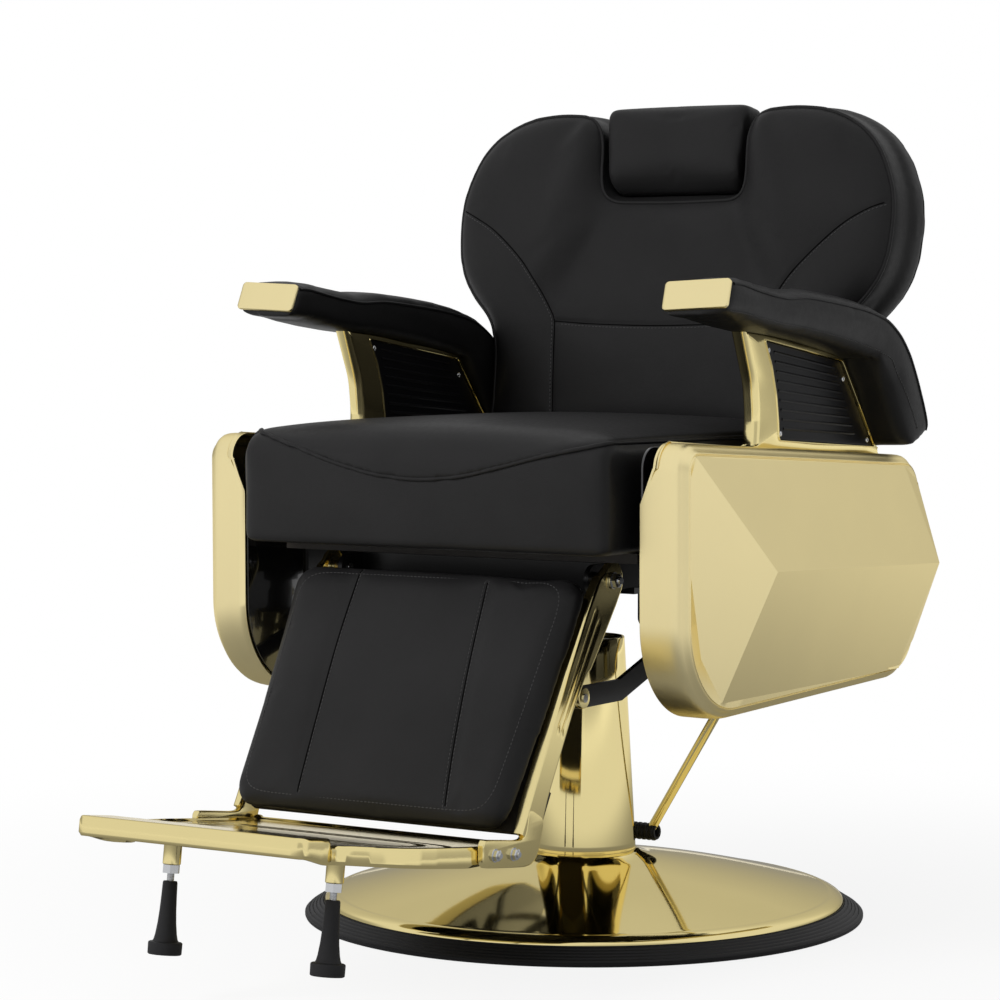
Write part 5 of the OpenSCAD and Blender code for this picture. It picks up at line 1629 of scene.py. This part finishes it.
class CHAIR_OT_stage(bpy.types.Operator):
    """Pale floor, soft studio light and the camera"""
    bl_idname = "chair.stage"
    bl_label = "Studio"

    def execute(self, context):
        scene = context.scene
        scene.view_settings.view_transform = "Standard"
        data = bpy.data.cameras.new("studio_camera")
        data.lens = 114.892
        data.sensor_width = 36.0
        data.clip_end = 60.0
        camera = linked("studio_camera", data)
        camera.location = (2.0528, -3.4167, 0.7415)
        turn, tilt = math.radians(32.51), math.radians(3.182)
        ahead = Vector((-math.sin(turn) * math.cos(tilt), math.cos(turn) * math.cos(tilt), -math.sin(tilt)))
        camera.rotation_euler = ahead.to_track_quat("-Z", "Y").to_euler()
        scene.camera = camera
        self.world(scene)
        self.floor()
        self.lamp("front_softbox", (-1.5, -3.0, 1.9), (0, -0.1, 0.6), 1.8, 124)
        self.lamp("top_softbox", (0.2, 0.3, 3.0), (0, 0, 0.4), 2.0, 12)
        self.lamp("side_softbox", (3.2, -0.2, 1.7), (0, 0, 0.5), 1.8, 6)
        return {"FINISHED"}

    @staticmethod
    def lamp(name, place, aim, size, power):
        """Round soft lamp that mirror surfaces don't show."""
        data = bpy.data.lights.new(name, "AREA")
        data.shape = "DISK"
        data.size = size
        data.energy = power
        lamp = linked(name, data)
        lamp.location = place
        lamp.visible_glossy = False
        lamp.rotation_euler = (Vector(aim) - Vector(place)).to_track_quat("-Z", "Y").to_euler()

    @staticmethod
    def world(scene):
        """White to the camera, soft light for the surfaces, and a shaped studio for mirror surfaces."""
        world = bpy.data.worlds.new("studio")
        scene.world = world
        world.use_nodes = True
        tree = world.node_tree
        tree.nodes.clear()
        path = put(tree, "ShaderNodeLightPath").outputs
        way = put(tree, "ShaderNodeTexCoord").outputs["Generated"]
        axes = put(tree, "ShaderNodeSeparateXYZ", Vector=way).outputs
        # the mirrored studio is darker behind and low down
        high = math_node(tree, "MULTIPLY", math_node(tree, "MAXIMUM", axes["Z"], 0.0), 2.6)
        behind = math_node(tree, "MULTIPLY", ramp(tree, axes["Y"], 0.42, 0.80, 0.0, 0.5),
                           math_node(tree, "SUBTRACT", 1.0, high, clamp=True))
        level = math_node(tree, "SUBTRACT", 1.06, behind)
        # grey flags: beside the camera, to the left, and behind to the left
        for aim, low, high, dark in (((0.80, -0.60, 0.0), 0.84, 0.97, 0.66), ((-0.995, 0.1, 0.0), 0.80, 0.96, 0.5),
                                     ((-0.53, 0.83, 0.17), 0.72, 0.95, 0.7)):
            facing = put(tree, "ShaderNodeVectorMath", operation="DOT_PRODUCT")
            feed(tree, facing.inputs[0], way)
            feed(tree, facing.inputs[1], aim)
            level = math_node(tree, "MULTIPLY", level, ramp(tree, facing.outputs["Value"], low, high, 1.0, dark))
        room, shown, mirror = (put(tree, "ShaderNodeBackground", Color=(grey, grey, grey, 1), Strength=strength)
                               for grey, strength in ((1.0, 0.23), (1.0, 1.0), (0.8, level)))
        seen = math_node(tree, "MAXIMUM", path["Is Glossy Ray"], path["Is Transmission Ray"])
        last = mix_shaders(tree, path["Is Camera Ray"], mix_shaders(tree, seen, room, mirror), shown)
        put(tree, "ShaderNodeOutputWorld", Surface=last)

    @staticmethod
    def floor():
        """Pale floor that fades into the white; mirror surfaces see only its glow, which is darkened near the chair
        as painted shade.
        """
        n, size = 48, 14000.0
        ring = [(size * math.cos(2 * math.pi * k / n), size * math.sin(2 * math.pi * k / n), -0.4) for k in range(n)]
        floor = to_object("studio_floor", [(0, 0, -0.4)] + ring, [(0, k + 1, (k + 1) % n + 1) for k in range(n)])
        made = bpy.data.materials.new("pale_floor")
        made.use_nodes = True
        tree = made.node_tree
        tree.nodes.clear()
        path = put(tree, "ShaderNodeLightPath").outputs
        place = put(tree, "ShaderNodeTexCoord").outputs["Object"]
        far = vector_node(tree, "LENGTH", place, "Value")
        fade = ramp(tree, far, 0.3, 1.5, 0.88, 1.0)
        # painted shade: mirror surfaces see the floor glow dimmer near the chair, in place of the shadow that falls
        # there
        painted_floor_shade = math_node(tree, "ADD", ramp(tree, far, 0.6, 2.4, 0.28, 0.85), ramp(tree, far, 6.0, 10.0, 0.0, 0.22))
        glow = math_node(tree, "MAXIMUM", path["Is Camera Ray"],
                         math_node(tree, "MULTIPLY", path["Is Glossy Ray"], painted_floor_shade))
        seen = math_node(tree, "MAXIMUM", math_node(tree, "MULTIPLY", path["Is Camera Ray"], fade),
                         path["Is Glossy Ray"])
        matt = put(tree, "ShaderNodeBsdfDiffuse", Color=(0.8, 0.8, 0.8, 1))
        lit = put(tree, "ShaderNodeEmission", Strength=glow)
        put(tree, "ShaderNodeOutputMaterial", Surface=mix_shaders(tree, seen, matt, lit))
        floor.data.materials.append(made)


# ------------------------------------------------------------------ panel and registration

STEPS = (
    CHAIR_OT_stage, CHAIR_OT_hardware, CHAIR_OT_base_ring, CHAIR_OT_base_disc, CHAIR_OT_side_panels,
    CHAIR_OT_arm_frames, CHAIR_OT_arm_pads, CHAIR_OT_seat, CHAIR_OT_back, CHAIR_OT_headrest, CHAIR_OT_leg_pad,
    CHAIR_OT_footrest_arms, CHAIR_OT_footplate, CHAIR_OT_bolts, CHAIR_OT_feet, CHAIR_OT_pump_lever,
)


class CHAIR_PT_panel(bpy.types.Panel):
    """Barber chair pieces"""
    bl_label = "Barber chair"
    bl_idname = "CHAIR_PT_panel"
    bl_space_type = "VIEW_3D"
    bl_region_type = "UI"
    bl_category = "Barber chair"

    def draw(self, context):
        for group in (context.scene.chair_sizes, context.scene.chair_colours):
            box = self.layout.box()
            for name in group.__annotations__:
                box.prop(group, name)
        for step in STEPS:
            self.layout.operator(step.bl_idname)


CLASSES = (ChairSizes, ChairColours) + STEPS + (CHAIR_PT_panel,)


def register():
    for c in CLASSES:
        bpy.utils.register_class(c)
    bpy.types.Scene.chair_sizes = bpy.props.PointerProperty(type=ChairSizes)
    bpy.types.Scene.chair_colours = bpy.props.PointerProperty(type=ChairColours)


def unregister():
    del bpy.types.Scene.chair_colours
    del bpy.types.Scene.chair_sizes
    for c in reversed(CLASSES):
        bpy.utils.unregister_class(c)


def main():
    register()
    for step in STEPS:
        area, name = step.bl_idname.split(".")
        getattr(getattr(bpy.ops, area), name)()


if __name__ == "__main__":
    main()
